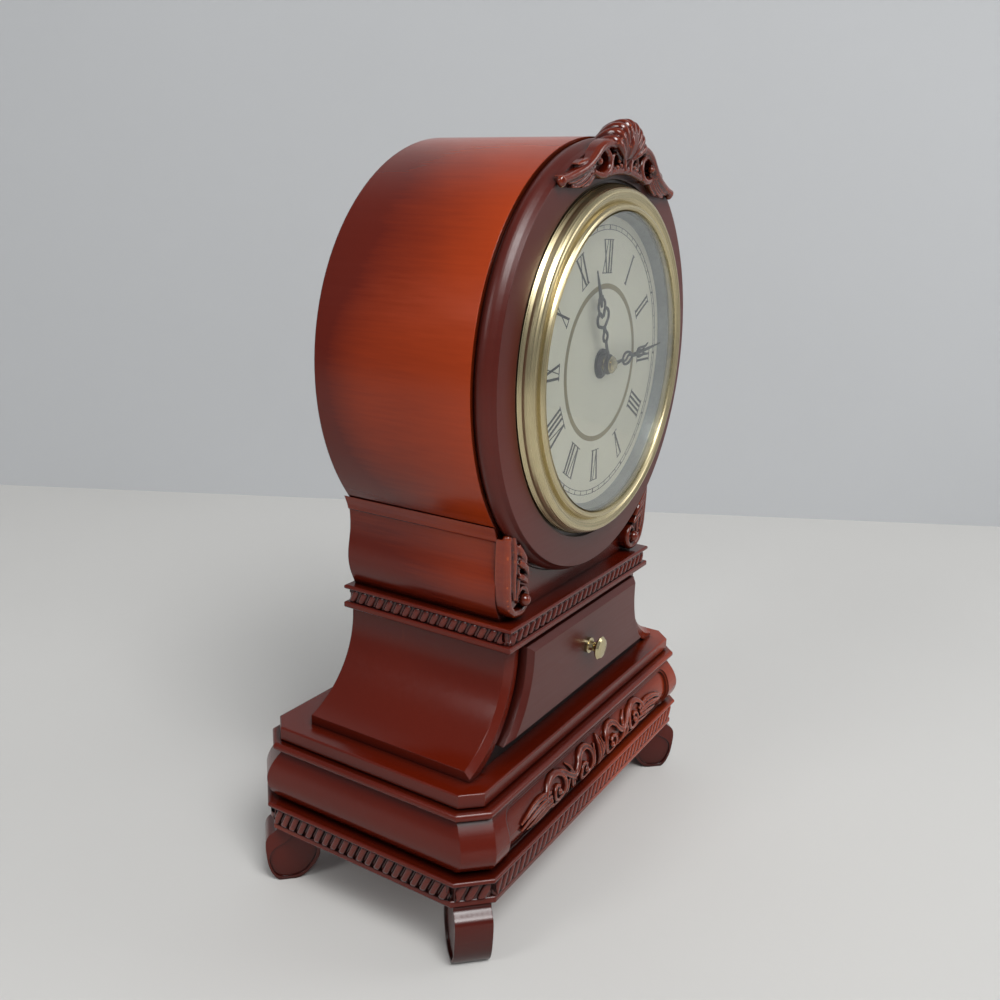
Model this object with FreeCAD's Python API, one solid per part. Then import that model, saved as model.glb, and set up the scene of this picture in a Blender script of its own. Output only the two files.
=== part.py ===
import FreeCAD, Part
import math
import os

from FreeCAD import Placement, Rotation, Vector

# Tambour mantel clock: a turned drum on a shaped cradle, a flared waist with
# a drawer and a chamfered base on four scroll feet. Millimetres, Z up, front
# towards -Y, origin on the ground under the middle of the base.

# Clearances
cut_over = 2.0
curved_seat = 0.3
slide_gap = 0.3
running_gap = 0.06

# Scroll feet
foot_height = 30.5
foot_length = 26.4
foot_thickness = 17.2
foot_overhang = 4.3
foot_recess = 0.9
foot_outline_shares = (
    (0.36, 1.0), (0.19, 0.84), (0.05, 0.67), (0.0, 0.49), (0.035, 0.34), (0.14, 0.2),
    (0.35, 0.033), (0.53, -0.012), (0.72, -0.012), (0.894, 0.145), (0.981, 0.43), (1.0, 0.62),
    (0.945, 0.83), (0.845, 0.9), (0.795, 0.95), (0.8, 1.0),
)
foot_recess_shares = (
    (0.53, 0.79), (0.64, 0.69), (0.82, 0.6), (0.925, 0.46), (0.9, 0.25), (0.8, 0.1), (0.66, 0.05),
    (0.5, 0.055), (0.34, 0.1), (0.17, 0.26), (0.08, 0.43), (0.1, 0.62), (0.25, 0.8), (0.42, 0.87),
)

# Lower moulding of the base
base_half_width = 116.2
base_half_depth = 67.0
base_chamfer = 13.2
lower_lip_height = 3.6
lower_lip_side_inset = 1.6
lower_lip_front_inset = 1.0
lower_lip_chamfer = 14.4
lower_lip_round = 1.2
lower_rope_height = 8.4
lower_rope_depth = 3.0
lower_rope_inset = 3.6
lower_rope_chamfer = 12.2
upper_lip_height = 2.5
upper_lip_round = 1.1

# Carved bands
band_steps = 1

# Rope carving
rope_relief = 1.5
rope_pitch = 5.25
rope_tooth_share = 0.72
rope_lean_share = 0.42
rope_shoulder_share = 0.26

# Base box and its front panel
box_height = 27.2
box_side_inset = 6.9
box_front_inset = 6.2
box_bulge_width = 4.8
box_bulge_depth = 6.1
box_chamfer = 11.0
box_bulge_shares = (
    (0.0, 0.0), (0.1, 0.5), (0.22, 0.84), (0.36, 1.0), (0.5, 0.97), (0.64, 0.8), (0.78, 0.52),
    (0.9, 0.22), (1.0, -0.08),
)
panel_side_rail = 6.8
panel_top_rail = 2.2
panel_bottom_rail = 1.4
panel_corner_radius = 7.0
panel_depth = 2.2
panel_edge = 1.3
panel_edge_depth = 0.8
carving_plate = 0.9
carving_crown = 1.7

# Cap of the base
roll_height = 3.9
roll_side_inset = 2.8
roll_front_inset = 3.6
roll_chamfer = 11.2
roll_round = 1.8
step_height = 7.4
step_side_inset = 6.4
step_front_inset = 8.0
step_chamfer = 8.3
step_round = 0.9
step_groove_height = 1.0
step_groove_depth = 1.2

# Waist
waist_height = 52.1
waist_top_half_width = 68.1
waist_neck_height = 5.6
waist_flare = 30.7
waist_foot_edge = 4.7
waist_wall = 7.0
waist_front = -49.2
waist_back = 41.1
waist_bevel = 2.9
waist_face_inset = 1.5
waist_face_thickness = 5.0
waist_rear_thickness = 6.0

# Drawer
drawer_top_margin = 1.8
drawer_bottom_margin = 7.8
drawer_top_half_width = 58.5
drawer_neck = 5.8
drawer_side_radius = 46.5
drawer_edge_thickness = 4.3
drawer_bevel = 2.6
tray_half_width = 52.0
tray_depth = 76.5
tray_bottom_rise = 2.4
tray_top_drop = 4.8
tray_wall = 4.0
tray_floor = 3.0
bay_gap = 0.5
runner_width = 10.0
knob_height_share = 0.55
knob_radius = 5.9
knob_stem_radius = 2.6
knob_collar_radius = 4.0
knob_collar_thickness = 1.4
knob_stem_length = 4.2
knob_head_thickness = 3.0
knob_screw_radius = 1.5
knob_screw_head_radius = 3.0
knob_screw_head_height = 2.0

# Collar
collar_half_width = 74.7
collar_front = -52.7
collar_back = 41.1
collar_low_lip_height = 3.2
collar_high_lip_height = 2.2
collar_lip_round = 0.9
collar_rope_height = 6.3
collar_rope_depth = 2.6

# Cradle under the drum
cradle_half_width = 74.8
cradle_height = 45.5
cradle_back = 38.5
cradle_profile_shares = (
    (0.93, 0.0), (0.964, 0.11), (0.99, 0.225), (1.0, 0.35), (0.993, 0.475), (0.981, 0.6),
    (0.979, 0.72), (0.986, 0.835),
)
cradle_band_shares = ((1.0, 0.855), (1.008, 0.9), (1.036, 1.0))

# Corner brackets of the cradle
bracket_width = 21.5
bracket_thickness = 5.2
bracket_crown = 2.2
bracket_vein = 1.5
bracket_eye_radius = 3.4
bracket_lobe_shares = (
    ((0.24, 0.02), (0.38, 0.022), (0.62, 0.018), (0.84, 0.05), (0.97, 0.12), (0.99, 0.2), (0.9, 0.27), (0.78, 0.31)),
    ((0.78, 0.31), (0.85, 0.37), (0.9, 0.43), (0.82, 0.48)),
    ((0.82, 0.48), (0.8, 0.58), (0.68, 0.65), (0.5, 0.685), (0.38, 0.67)),
    ((0.38, 0.67), (0.35, 0.78), (0.24, 0.88), (0.08, 0.93), (0.0, 0.925)),
)
bracket_vein_shares = (
    ((0.2, 0.16), (0.14, 0.4), (0.12, 0.62), (0.1, 0.84)),
    ((0.34, 0.14), (0.36, 0.36), (0.3, 0.52), (0.26, 0.74)),
    ((0.5, 0.34), (0.56, 0.46), (0.62, 0.56), (0.64, 0.6)),
    ((0.38, 0.2), (0.5, 0.08), (0.72, 0.07), (0.88, 0.13)),
)
bracket_eye_shares = (0.76, 0.2)

# Drum
drum_radius = 99.8
drum_wall = 7.0
drum_lift = 9.3
drum_front = -43.6
drum_depth = 79.7

# Front ring
ring_thickness = 9.7
ring_joint_width = 0.8
ring_joint_depth = 2.0
ring_roll = 1.4
ring_face_radius = 96.3
ring_face_edge = 1.9
ring_recess_radius = 82.1
ring_recess_depth = 2.1
dial_recess_radius = 75.0
dial_recess_depth = 2.1
ring_bore_radius = 62.0

# Bezel and glass
bezel_gap = 1.5
bezel_outer_rise = 1.9
bezel_edge_rise = 3.6
bezel_edge_inset = 0.9
bezel_crown_inset = 3.9
bezel_crown_rise = 8.3
bezel_crease_radius = 72.3
bezel_crease_rise = 6.6
bezel_bead_radius = 70.4
bezel_bead_rise = 9.3
bezel_lip_radius = 68.6
bezel_lip_thickness = 1.0
bezel_wall_radius = 69.5
glass_thickness = 1.5
glass_gap = 0.05

# Dial
dial_radius = 74.6
dial_thickness = 0.8
dial_back_gap = 0.3
reflector_height = 4.6
reflector_inner_radius = 66.5
reflector_top_radius = 68.2
print_thickness = 0.15
numeral_inner_radius = 41.2
numeral_height = 15.2
numeral_thick = 1.15
numeral_thin = 0.45
numeral_serif = 0.4
numeral_i_width = 2.5
numeral_v_width = 5.0
numeral_x_width = 5.2
dial_band_outer = 36.7
dial_band_inner = 34.3

# Movement
movement_half_width = 38.0
movement_depth = 27.0
movement_round = 4.0
movement_gap = 0.4
bush_radius = 4.0
bush_bore_radius = 2.7
bush_front = 3.2
bush_root = 9.0
washer_radius = 7.0
washer_thickness = 0.6
nut_across_flats = 10.0
nut_thickness = 1.8
hour_pipe_wall = 1.05
minute_shaft_radius = 1.5
minute_shaft_root = 3.0
hour_pipe_root = 3.0
cell_radius = 7.1
cell_length = 50.0
cell_cap_radius = 2.7
cell_cap_length = 1.2
cell_gap = 0.5
cell_wall = 3.5
cell_lift = 5.0
set_knob_radius = 7.0
set_knob_height = 4.5
set_knob_stem_radius = 2.0
set_knob_stem_length = 6.0
set_knob_offset_x = 18.0
set_knob_offset_z = 20.0
set_knob_ribs = 18
set_knob_rib = 0.5
switch_width = 6.0
switch_height = 4.0
switch_rise = 2.4
switch_stem = 3.0
switch_travel = 6.0
switch_offset_x = -20.0
switch_offset_z = 22.0
speaker_radius = 25.0
speaker_magnet_radius = 11.0
speaker_depth = 8.0
speaker_magnet_depth = 7.0
speaker_offset_z = -66.0

# Hands
hand_thickness = 0.5
hour_hand_length = 46.5
minute_hand_length = 57.0
hour_hand_rise = 3.9
minute_hand_rise = 5.6
hour_hub_radius = 4.8
minute_hub_radius = 4.0
hand_cap_radius = 3.0
hand_cap_height = 1.5
hour_hand_angle = 337.0
minute_hand_angle = 84.0
hour_hand_width = 5.4
minute_hand_width = 3.1
hour_hand_shares = (
    (0.06, 0.24), (0.2, 0.2), (0.27, 0.34), (0.33, 0.8), (0.41, 1.0), (0.5, 0.82), (0.57, 0.44),
    (0.62, 0.2), (0.67, 0.32), (0.73, 0.46), (0.8, 0.24), (1.0, 0.05),
)
minute_hand_shares = (
    (0.05, 0.36), (0.2, 0.3), (0.3, 0.4), (0.36, 0.85), (0.43, 1.0), (0.5, 0.78), (0.56, 0.34),
    (0.62, 0.5), (0.69, 0.72), (0.76, 0.34), (1.0, 0.08),
)
hand_eye_place_shares = (0.34, 0.45)
hand_eye_width_share = 0.34
hand_eye_length_share = 0.07

# Back of the drum
board_inset = 6.5
board_thickness = 4.5
board_rebate = 2.0
board_opening_half = 42.0
door_overlap = 4.0
door_thickness = 3.5
door_knob_radius = 4.0
door_knob_stem_radius = 1.8
door_knob_length = 6.0
door_knob_inset = 9.0
hinge_radius = 1.6
hinge_pin_radius = 0.8
hinge_side_gap = 0.6
hinge_leaf_width = 9.0
hinge_leaf_thickness = 0.8
hinge_knuckle = 5.0
hinge_spread = 30.0
board_screw_radius = 2.6
board_screw_height = 1.2
board_screw_count = 6

# Crest carving
crest_half_width = 58.0
crest_height = 33.4
crest_drop = 8.0
crest_plate = 2.4
crest_crown = 2.2
crest_block_half_width = 8.5
crest_block_height = 4.6
crest_block_thickness = 4.4
crest_block_rise_share = 0.296
crest_end_radius = 2.5
boss_top_share = 0.55
fan_radius = 19.8
fan_root = 1.6
fan_root_rise_share = 0.4192
fan_half_angle = 58.0
fan_petals = 9
fan_overlap_share = 1.06
fan_thickness = 3.4
fan_crown = 2.4
fan_lobe_rise_share = 0.4
fan_back_depth = 9.4
fan_petal_shares = ((0.0, 0.25), (0.35, 0.45), (0.7, 0.8), (1.0, 0.84))
fan_profile_shares = ((0.0, 0.94), (0.4, 0.94), (0.78, 0.8), (1.0, 0.63))

# Levels that follow
moulding_z = foot_height
rope_low_z = moulding_z + lower_lip_height
upper_lip_z = rope_low_z + lower_rope_height
box_z = upper_lip_z + upper_lip_height
cap_z = box_z + box_height
step_z = cap_z + roll_height
waist_z = step_z + step_height
collar_z = waist_z + waist_height
cradle_z = collar_z + collar_low_lip_height + collar_rope_height + collar_high_lip_height
clock_z = cradle_z + drum_lift + drum_radius
lower_lip_half_width = base_half_width - lower_lip_side_inset
lower_lip_half_depth = base_half_depth - lower_lip_front_inset
box_half_width = base_half_width - box_side_inset
box_half_depth = base_half_depth - box_front_inset
panel_half_width = box_half_width - box_chamfer - panel_side_rail
roll_half_width = base_half_width - roll_side_inset
roll_half_depth = base_half_depth - roll_front_inset
step_half_width = base_half_width - step_side_inset
step_half_depth = base_half_depth - step_front_inset
drum_back = drum_front + drum_depth
ring_back = drum_front - curved_seat
ring_front = ring_back - ring_thickness
bezel_back = ring_front + ring_recess_depth
dial_back = bezel_back + dial_recess_depth - dial_back_gap
dial_front = dial_back - dial_thickness
movement_front = dial_back + movement_gap
movement_back = movement_front + movement_depth
board_back = drum_back - board_inset
board_front = board_back - board_thickness
door_front = board_back + slide_gap
door_back = door_front + door_thickness


def polygon(points):
    return Part.Face(Part.makePolygon(list(points) + [points[0]]))


def fused(shapes):
    return shapes[0].multiFuse(shapes[1:])


def joined(shapes):
    return fused(shapes).removeSplitter()


def centred_box(half_x, y_low, y_high, z_low, z_high):
    return Part.makeBox(2 * half_x, y_high - y_low, z_high - z_low, Vector(-half_x, y_low, z_low))


def span_box(x_low, x_high, y_low, y_high, z_low, z_high):
    return Part.makeBox(x_high - x_low, y_high - y_low, z_high - z_low, Vector(x_low, y_low, z_low))


def chamfered_face(half_x, half_y, chamfer, z):
    corners = []
    for sx, sy in ((-1, -1), (1, -1), (1, 1), (-1, 1)):
        along_x = Vector(sx * (half_x - chamfer), sy * half_y, z)
        along_y = Vector(sx * half_x, sy * (half_y - chamfer), z)
        if sx * sy > 0:
            corners += [along_y, along_x]
        else:
            corners += [along_x, along_y]
    return polygon(corners)


def chamfered_plate(half_x, half_y, chamfer, z, height):
    return chamfered_face(half_x, half_y, chamfer, z).extrude(Vector(0, 0, height))


def edges_at_height(shape, z):
    return [edge for edge in shape.Edges if all(abs(v.Z - z) < curved_seat / 10 for v in edge.Vertexes)]


def disc(radius, y_low, y_high, x=0.0, z=None):
    height = clock_z if z is None else z
    return Part.makeCylinder(radius, y_high - y_low, Vector(x, y_low, height), Vector(0, 1, 0))


def turned(points):
    profile = polygon([Vector(radius, y, clock_z) for radius, y in points])
    return profile.revolve(Vector(0, 0, clock_z), Vector(0, 1, 0), 360)


def mirrored(shape):
    return shape.mirror(Vector(0, 0, 0), Vector(1, 0, 0))


def hand_turned(shape, degrees):
    turn = Rotation(Vector(0, 1, 0), degrees)
    centre = Vector(0, 0, clock_z)
    return shape.transformed(Placement(centre - turn.multVec(centre), turn).toMatrix())


# Flowing relief: a band with upright sides and a round crown that follows a line of
# chosen points. Each point has its place and half width.

def spline(points):
    curve = Part.BSplineCurve()
    curve.interpolate(points)
    return curve


def band_section(centre, across, half, plate, crown):
    outward = Vector(0, -1, 0)
    left = centre + across * half
    right = centre - across * half
    summit = centre + outward * (plate + crown)
    if plate == 0:
        return Part.makePolygon([left, summit, right, left])
    return Part.makePolygon([left, left + outward * plate, summit, right + outward * plate, right, left])


def carved_band(points, halves, back, plate, crown):
    curve = spline([Vector(x, 0, z) for x, z in points])
    widths = spline([Vector(index, half, 0) for index, half in enumerate(halves)])
    sections = []
    count = band_steps * (len(points) - 1)
    for index in range(count + 1):
        share = index / count
        at = share_parameter(curve, share)
        place = curve.value(at)
        along = curve.tangent(at)[0]
        across = Vector(-along.z, 0, along.x)
        half = widths.value(share_parameter(widths, share)).y
        place.y = back(place.z)
        sections.append(band_section(place, across, half, plate, min(crown, half)))
    return Part.makeLoft(sections, True, True)


def share_parameter(curve, share):
    return curve.FirstParameter + (curve.LastParameter - curve.FirstParameter) * share


def both_sides(shapes):
    return list(shapes) + [mirrored(shape) for shape in shapes]


def boss(x, z, radius, y_back, height):
    return Part.makeCone(radius, radius * boss_top_share, height, Vector(x, y_back, z), Vector(0, -1, 0))


# Rope carving: leaning ridges on a straight strip, seen from its front

def rope_strip(length, height, depth, left_turn, right_turn):
    core_depth = depth - rope_relief
    shoulder = rope_shoulder_share * height
    left_over = depth * math.tan(math.radians(left_turn / 2))
    right_over = depth * math.tan(math.radians(right_turn / 2))
    plan = polygon([
        Vector(0, 0, 0), Vector(length, 0, 0), Vector(length + right_over, -depth, 0), Vector(-left_over, -depth, 0)
    ]).extrude(Vector(0, 0, height))
    section = polygon([
        Vector(-left_over, 0, 0),
        Vector(-left_over, -core_depth, 0),
        Vector(-left_over, -depth, shoulder),
        Vector(-left_over, -depth, height - shoulder),
        Vector(-left_over, -core_depth, height),
        Vector(-left_over, 0, height),
    ])
    bar = section.extrude(Vector(left_over + length + right_over, 0, 0)).common(plan)
    core = centred_box(length, -core_depth, 0, 0, height).common(plan)
    count = round(length / rope_pitch)
    step = length / count
    width = step * rope_tooth_share
    lean = rope_lean_share * height
    teeth = []
    for index in range(-1, count + 1):
        left = (index + 0.5) * step - (width + lean) / 2
        tooth = polygon([
            Vector(left, 0, 0),
            Vector(left + width, 0, 0),
            Vector(left + width + lean, 0, height),
            Vector(left + lean, 0, height),
        ])
        teeth.append(tooth.extrude(Vector(0, -depth, 0)))
    carved = Part.makeCompound(teeth).common(bar)
    return core.multiFuse(carved.Solids)


def placed_strip(strip, x, y, z, degrees):
    return strip.transformed(Placement(Vector(x, y, z), Rotation(Vector(0, 0, 1), degrees)).toMatrix())


# Feet

def foot(side_x, side_y):
    points = [Vector(foot_length * u, 0, foot_height * v) for u, v in foot_outline_shares]
    top = Part.makeLine(points[-1], points[0])
    side = Part.Face(Part.Wire([spline(points).toShape(), top]))
    body = side.extrude(Vector(0, foot_thickness, 0))
    body.translate(Vector(0, -foot_thickness / 2, 0))
    eye = Part.BSplineCurve()
    eye.interpolate([Vector(foot_length * u, 0, foot_height * v) for u, v in foot_recess_shares], PeriodicFlag=True)
    for face_y, direction in ((-foot_thickness / 2, 1), (foot_thickness / 2, -1)):
        recess = Part.Face(Part.Wire([eye.toShape()]))
        recess.translate(Vector(0, face_y - direction * cut_over, 0))
        body = body.cut(recess.extrude(Vector(0, direction * (foot_recess + cut_over), 0)))
    body = body.cut(centred_box(foot_length + cut_over, -foot_thickness, foot_thickness, -cut_over, 0))
    middle_x = lower_lip_half_width - lower_lip_chamfer / 2
    middle_y = lower_lip_half_depth - lower_lip_chamfer / 2
    inward = (foot_length - foot_overhang) / math.sqrt(2)
    heading = math.degrees(math.atan2(side_y, side_x))
    origin = Vector(side_x * (middle_x - inward), side_y * (middle_y - inward), 0)
    return body.transformed(Placement(origin, Rotation(Vector(0, 0, 1), heading)).toMatrix())


# Base

def lower_moulding():
    lip = chamfered_plate(
        lower_lip_half_width, lower_lip_half_depth, lower_lip_chamfer, moulding_z, lower_lip_height
    )
    lip = lip.makeFillet(lower_lip_round, edges_at_height(lip, moulding_z) + edges_at_height(lip, rope_low_z))
    core = chamfered_plate(
        base_half_width - lower_rope_inset, base_half_depth - lower_rope_inset, lower_rope_chamfer, rope_low_z,
        lower_rope_height
    )
    top = chamfered_plate(base_half_width, base_half_depth, base_chamfer, upper_lip_z, upper_lip_height)
    top = top.makeFillet(upper_lip_round, edges_at_height(top, upper_lip_z) + edges_at_height(top, box_z))
    return joined([lip, core, top])


def lower_rope():
    half_x = base_half_width - lower_rope_inset
    half_y = base_half_depth - lower_rope_inset
    edge_x = half_x - lower_rope_chamfer
    edge_y = half_y - lower_rope_chamfer
    front = rope_strip(2 * edge_x, lower_rope_height, lower_rope_depth, 45, 45)
    side = rope_strip(2 * edge_y, lower_rope_height, lower_rope_depth, 45, 45)
    corner = rope_strip(lower_rope_chamfer * math.sqrt(2), lower_rope_height, lower_rope_depth, 45, 45)
    end_right = rope_strip(lower_rope_chamfer * math.sqrt(2), lower_rope_height, lower_rope_depth, 45, 0)
    end_left = rope_strip(lower_rope_chamfer * math.sqrt(2), lower_rope_height, lower_rope_depth, 0, 45)
    return Part.makeCompound([
        placed_strip(front, -edge_x, -half_y, rope_low_z, 0),
        placed_strip(corner, edge_x, -half_y, rope_low_z, 45),
        placed_strip(side, half_x, -edge_y, rope_low_z, 90),
        placed_strip(end_right, half_x, edge_y, rope_low_z, 135),
        placed_strip(end_left, -edge_x, half_y, rope_low_z, 225),
        placed_strip(side, -half_x, edge_y, rope_low_z, 270),
        placed_strip(corner, -half_x, -edge_y, rope_low_z, 315),
    ])


def bulged_body(growth):
    sections = []
    for share, bulge in box_bulge_shares:
        face = chamfered_face(
            box_half_width + box_bulge_width * bulge + growth, box_half_depth + box_bulge_depth * bulge + growth,
            box_chamfer, box_z + box_height * share
        )
        sections.append(face.OuterWire)
    return Part.makeLoft(sections, True, False)


def panel_prism(edge):
    low = box_z + panel_bottom_rail
    high = box_z + box_height - panel_top_rail
    half = panel_half_width - edge
    front_y = -(base_half_depth + cut_over)
    prism = centred_box(half, front_y, -(box_half_depth - box_bulge_depth), low + edge, high - edge)
    upright = [edge_line for edge_line in prism.Edges if runs_inward(edge_line)]
    return prism.makeFillet(panel_corner_radius - edge, upright)


def runs_inward(edge):
    return abs(edge.Vertexes[0].Y - edge.Vertexes[-1].Y) > box_bulge_depth


def base_box():
    outer = panel_prism(0).cut(bulged_body(-panel_edge_depth))
    inner = panel_prism(panel_edge).cut(bulged_body(-panel_depth))
    return bulged_body(0).cut(outer).cut(inner)


def base_cap():
    roll = chamfered_plate(roll_half_width, roll_half_depth, roll_chamfer, cap_z, roll_height)
    roll = roll.makeFillet(roll_round, edges_at_height(roll, cap_z) + edges_at_height(roll, step_z))
    groove = chamfered_plate(
        step_half_width - step_groove_depth, step_half_depth - step_groove_depth, step_chamfer, step_z,
        step_groove_height
    )
    step_low = step_z + step_groove_height
    step = chamfered_plate(step_half_width, step_half_depth, step_chamfer, step_low, step_height - step_groove_height)
    step = step.makeFillet(step_round, edges_at_height(step, waist_z))
    return joined([roll, groove, step])


# Carving on the base panel. Places are shares of the panel's half width and height,
# half widths are shares of the panel's height.

panel_scroll_shares = (
    (((0.13, 0.42), (0.105, 0.58), (0.13, 0.76), (0.19, 0.88), (0.25, 0.82), (0.3, 0.6), (0.36, 0.47),
      (0.42, 0.58), (0.46, 0.78), (0.51, 0.86), (0.56, 0.72), (0.58, 0.46), (0.545, 0.22), (0.49, 0.17),
      (0.455, 0.32), (0.47, 0.5)),
     (0.035, 0.05, 0.07, 0.085, 0.085, 0.075, 0.065, 0.07, 0.08, 0.09, 0.085, 0.07, 0.06, 0.05, 0.045, 0.035)),
    (((0.04, 0.1), (0.1, 0.1), (0.17, 0.16), (0.215, 0.34), (0.2, 0.56), (0.165, 0.6)),
     (0.03, 0.06, 0.075, 0.07, 0.05, 0.035)),
    (((0.3, 0.56), (0.33, 0.74), (0.37, 0.86), (0.405, 0.92)), (0.03, 0.08, 0.06, 0.015)),
    (((0.57, 0.3), (0.65, 0.42), (0.74, 0.46), (0.83, 0.34), (0.89, 0.2)), (0.03, 0.09, 0.13, 0.1, 0.02)),
    (((0.58, 0.2), (0.67, 0.17), (0.77, 0.16), (0.86, 0.14)), (0.03, 0.05, 0.05, 0.02)),
    (((0.02, 0.3), (0.05, 0.5), (0.08, 0.72), (0.07, 0.88)), (0.03, 0.06, 0.05, 0.015)),
    (((0.25, 0.34), (0.3, 0.22), (0.36, 0.16), (0.43, 0.14)), (0.02, 0.06, 0.05, 0.015)),
)
panel_bud_shares = (((0.0, 0.04), (0.0, 0.3), (0.0, 0.62), (0.0, 0.94)), (0.05, 0.08, 0.13, 0.02))


def panel_floor(z):
    share = (z - box_z) / box_height
    for (low, low_bulge), (high, high_bulge) in zip(box_bulge_shares, box_bulge_shares[1:]):
        if low <= share <= high:
            bulge = low_bulge + (high_bulge - low_bulge) * (share - low) / (high - low)
            return -(box_half_depth + box_bulge_depth * bulge - panel_depth)
    return -(box_half_depth - panel_depth)


def panel_band(points, halves):
    low = box_z + panel_bottom_rail
    height = box_height - panel_top_rail - panel_bottom_rail
    places = [(panel_half_width * u, low + height * v) for u, v in points]
    return carved_band(places, [height * half for half in halves], panel_floor, carving_plate, carving_crown)


def base_carving():
    bands = [panel_band(points, halves) for points, halves in panel_scroll_shares]
    return fused(both_sides(bands) + [panel_band(*panel_bud_shares)]).cut(base_box())


# Waist

def flare_profile(inset, z_low, z_high):
    drop = waist_height - waist_neck_height - waist_foot_edge
    radius = (waist_flare ** 2 + drop ** 2) / (2 * waist_flare)
    centre_x = waist_top_half_width + radius
    centre_z = collar_z - waist_neck_height
    reach = radius + inset
    foot_z = max(z_low, waist_z + waist_foot_edge) if inset == 0 else z_low
    fall = centre_z - foot_z
    foot_x = centre_x - math.sqrt(reach ** 2 - fall ** 2)
    half = math.asin(fall / reach) / 2
    middle = Vector(centre_x - reach * math.cos(half), 0, centre_z - reach * math.sin(half))
    top = Vector(centre_x - reach, 0, centre_z)
    return Vector(centre_x - reach, 0, z_high), top, middle, Vector(foot_x, 0, foot_z)


def waist_side():
    high, top, middle, low = flare_profile(0, waist_z, collar_z)
    inner_high, inner_top, inner_middle, inner_low = flare_profile(waist_wall, waist_z, collar_z)
    corner = Vector(low.x, 0, waist_z)
    edges = [
        Part.makeLine(high, top),
        Part.Arc(top, middle, low).toShape(),
        Part.makeLine(low, corner),
        Part.makeLine(corner, inner_low),
        Part.Arc(inner_low, inner_middle, inner_top).toShape(),
        Part.makeLine(inner_top, inner_high),
        Part.makeLine(inner_high, high),
    ]
    profile = Part.Face(Part.Wire(edges))
    profile.translate(Vector(0, waist_front, 0))
    side = profile.extrude(Vector(0, waist_back - waist_front, 0))
    inner_limit = waist_top_half_width - waist_wall / 2
    outer = [
        edge for edge in side.Edges
        if all(abs(v.Y - waist_front) < curved_seat / 10 for v in edge.Vertexes)
        and edge.BoundBox.XMax - edge.BoundBox.XMin < waist_flare + waist_wall / 10
        and on_outer_curve(edge, inner_limit)
    ]
    return side.makeChamfer(waist_bevel, outer)


def on_outer_curve(edge, inner_limit):
    middle = edge.valueAt((edge.FirstParameter + edge.LastParameter) / 2)
    high, top, curve_middle, low = flare_profile(waist_wall / 2, waist_z, collar_z)
    if middle.z > top.z:
        return middle.x > inner_limit
    if middle.z < waist_z + waist_foot_edge:
        return middle.z > waist_z and middle.x > low.x
    fall = top.z - middle.z
    radius = math.hypot(low.x - top.x, top.z - low.z) ** 2 / (2 * (low.x - top.x))
    return middle.x > top.x + radius - math.sqrt(radius ** 2 - fall ** 2)


def waist_panel(y_front, thickness):
    high, top, middle, low = flare_profile(waist_wall + curved_seat, waist_z, collar_z)
    flip = [Vector(-point.x, 0, point.z) for point in (high, top, middle, low)]
    edges = [
        Part.makeLine(high, top),
        Part.Arc(top, middle, low).toShape(),
        Part.makeLine(low, flip[3]),
        Part.Arc(flip[3], flip[2], flip[1]).toShape(),
        Part.makeLine(flip[1], flip[0]),
        Part.makeLine(flip[0], high),
    ]
    profile = Part.Face(Part.Wire(edges))
    profile.translate(Vector(0, y_front, 0))
    return profile.extrude(Vector(0, thickness, 0))


drawer_low = waist_z + drawer_bottom_margin
drawer_high = collar_z - drawer_top_margin
tray_low = drawer_low + tray_bottom_rise
tray_high = drawer_high - tray_top_drop
face_front = waist_front + waist_face_inset
drawer_back = face_front - slide_gap


def waist_face():
    panel = waist_panel(face_front, waist_face_thickness)
    return panel.cut(centred_box(
        tray_half_width + bay_gap, face_front - cut_over, face_front + waist_face_thickness + cut_over,
        tray_low - bay_gap, tray_high + bay_gap
    ))


def drawer_runners():
    front = face_front + waist_face_thickness
    back = waist_back - waist_rear_thickness
    top = tray_low - slide_gap
    right = span_box(tray_half_width - runner_width, tray_half_width, front, back, waist_z, top)
    return Part.makeCompound([right, mirrored(right)])


# Drawer

def drawer_outline(inset, y):
    centre_x = drawer_top_half_width + drawer_side_radius
    centre_z = drawer_high - drawer_neck
    reach = drawer_side_radius + inset
    low_z = drawer_low + inset
    fall = centre_z - low_z
    low = Vector(centre_x - math.sqrt(reach ** 2 - fall ** 2), y, low_z)
    half = math.asin(fall / reach) / 2
    middle = Vector(centre_x - reach * math.cos(half), y, centre_z - reach * math.sin(half))
    top = Vector(centre_x - reach, y, centre_z)
    high = Vector(centre_x - reach, y, drawer_high - inset)
    flip = [Vector(-point.x, y, point.z) for point in (high, top, middle, low)]
    return Part.Wire([
        Part.makeLine(high, top),
        Part.Arc(top, middle, low).toShape(),
        Part.makeLine(low, flip[3]),
        Part.Arc(flip[3], flip[2], flip[1]).toShape(),
        Part.makeLine(flip[1], flip[0]),
        Part.makeLine(flip[0], high),
    ])


def knob_z():
    return drawer_low + knob_height_share * (drawer_high - drawer_low)


def drawer_front():
    edge = Part.Face(drawer_outline(0, drawer_back)).extrude(Vector(0, -drawer_edge_thickness, 0))
    edge_y = drawer_back - drawer_edge_thickness
    bevel = Part.makeLoft([drawer_outline(0, edge_y), drawer_outline(drawer_bevel, edge_y - drawer_bevel)], True, True)
    plate = edge.fuse(bevel).removeSplitter()
    hole = disc(knob_screw_radius + running_gap, edge_y - drawer_bevel - cut_over, drawer_back + cut_over, 0, knob_z())
    return plate.cut(hole)


def drawer_tray():
    back_y = drawer_back + tray_depth
    tray = centred_box(tray_half_width, drawer_back, back_y, tray_low, tray_high)
    hollow = centred_box(
        tray_half_width - tray_wall, drawer_back + tray_wall, back_y - tray_wall, tray_low + tray_floor,
        tray_high + cut_over
    )
    hole = disc(
        knob_screw_radius + running_gap, drawer_back - cut_over, drawer_back + tray_wall + cut_over, 0, knob_z()
    )
    return tray.cut(hollow).cut(hole)


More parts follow.
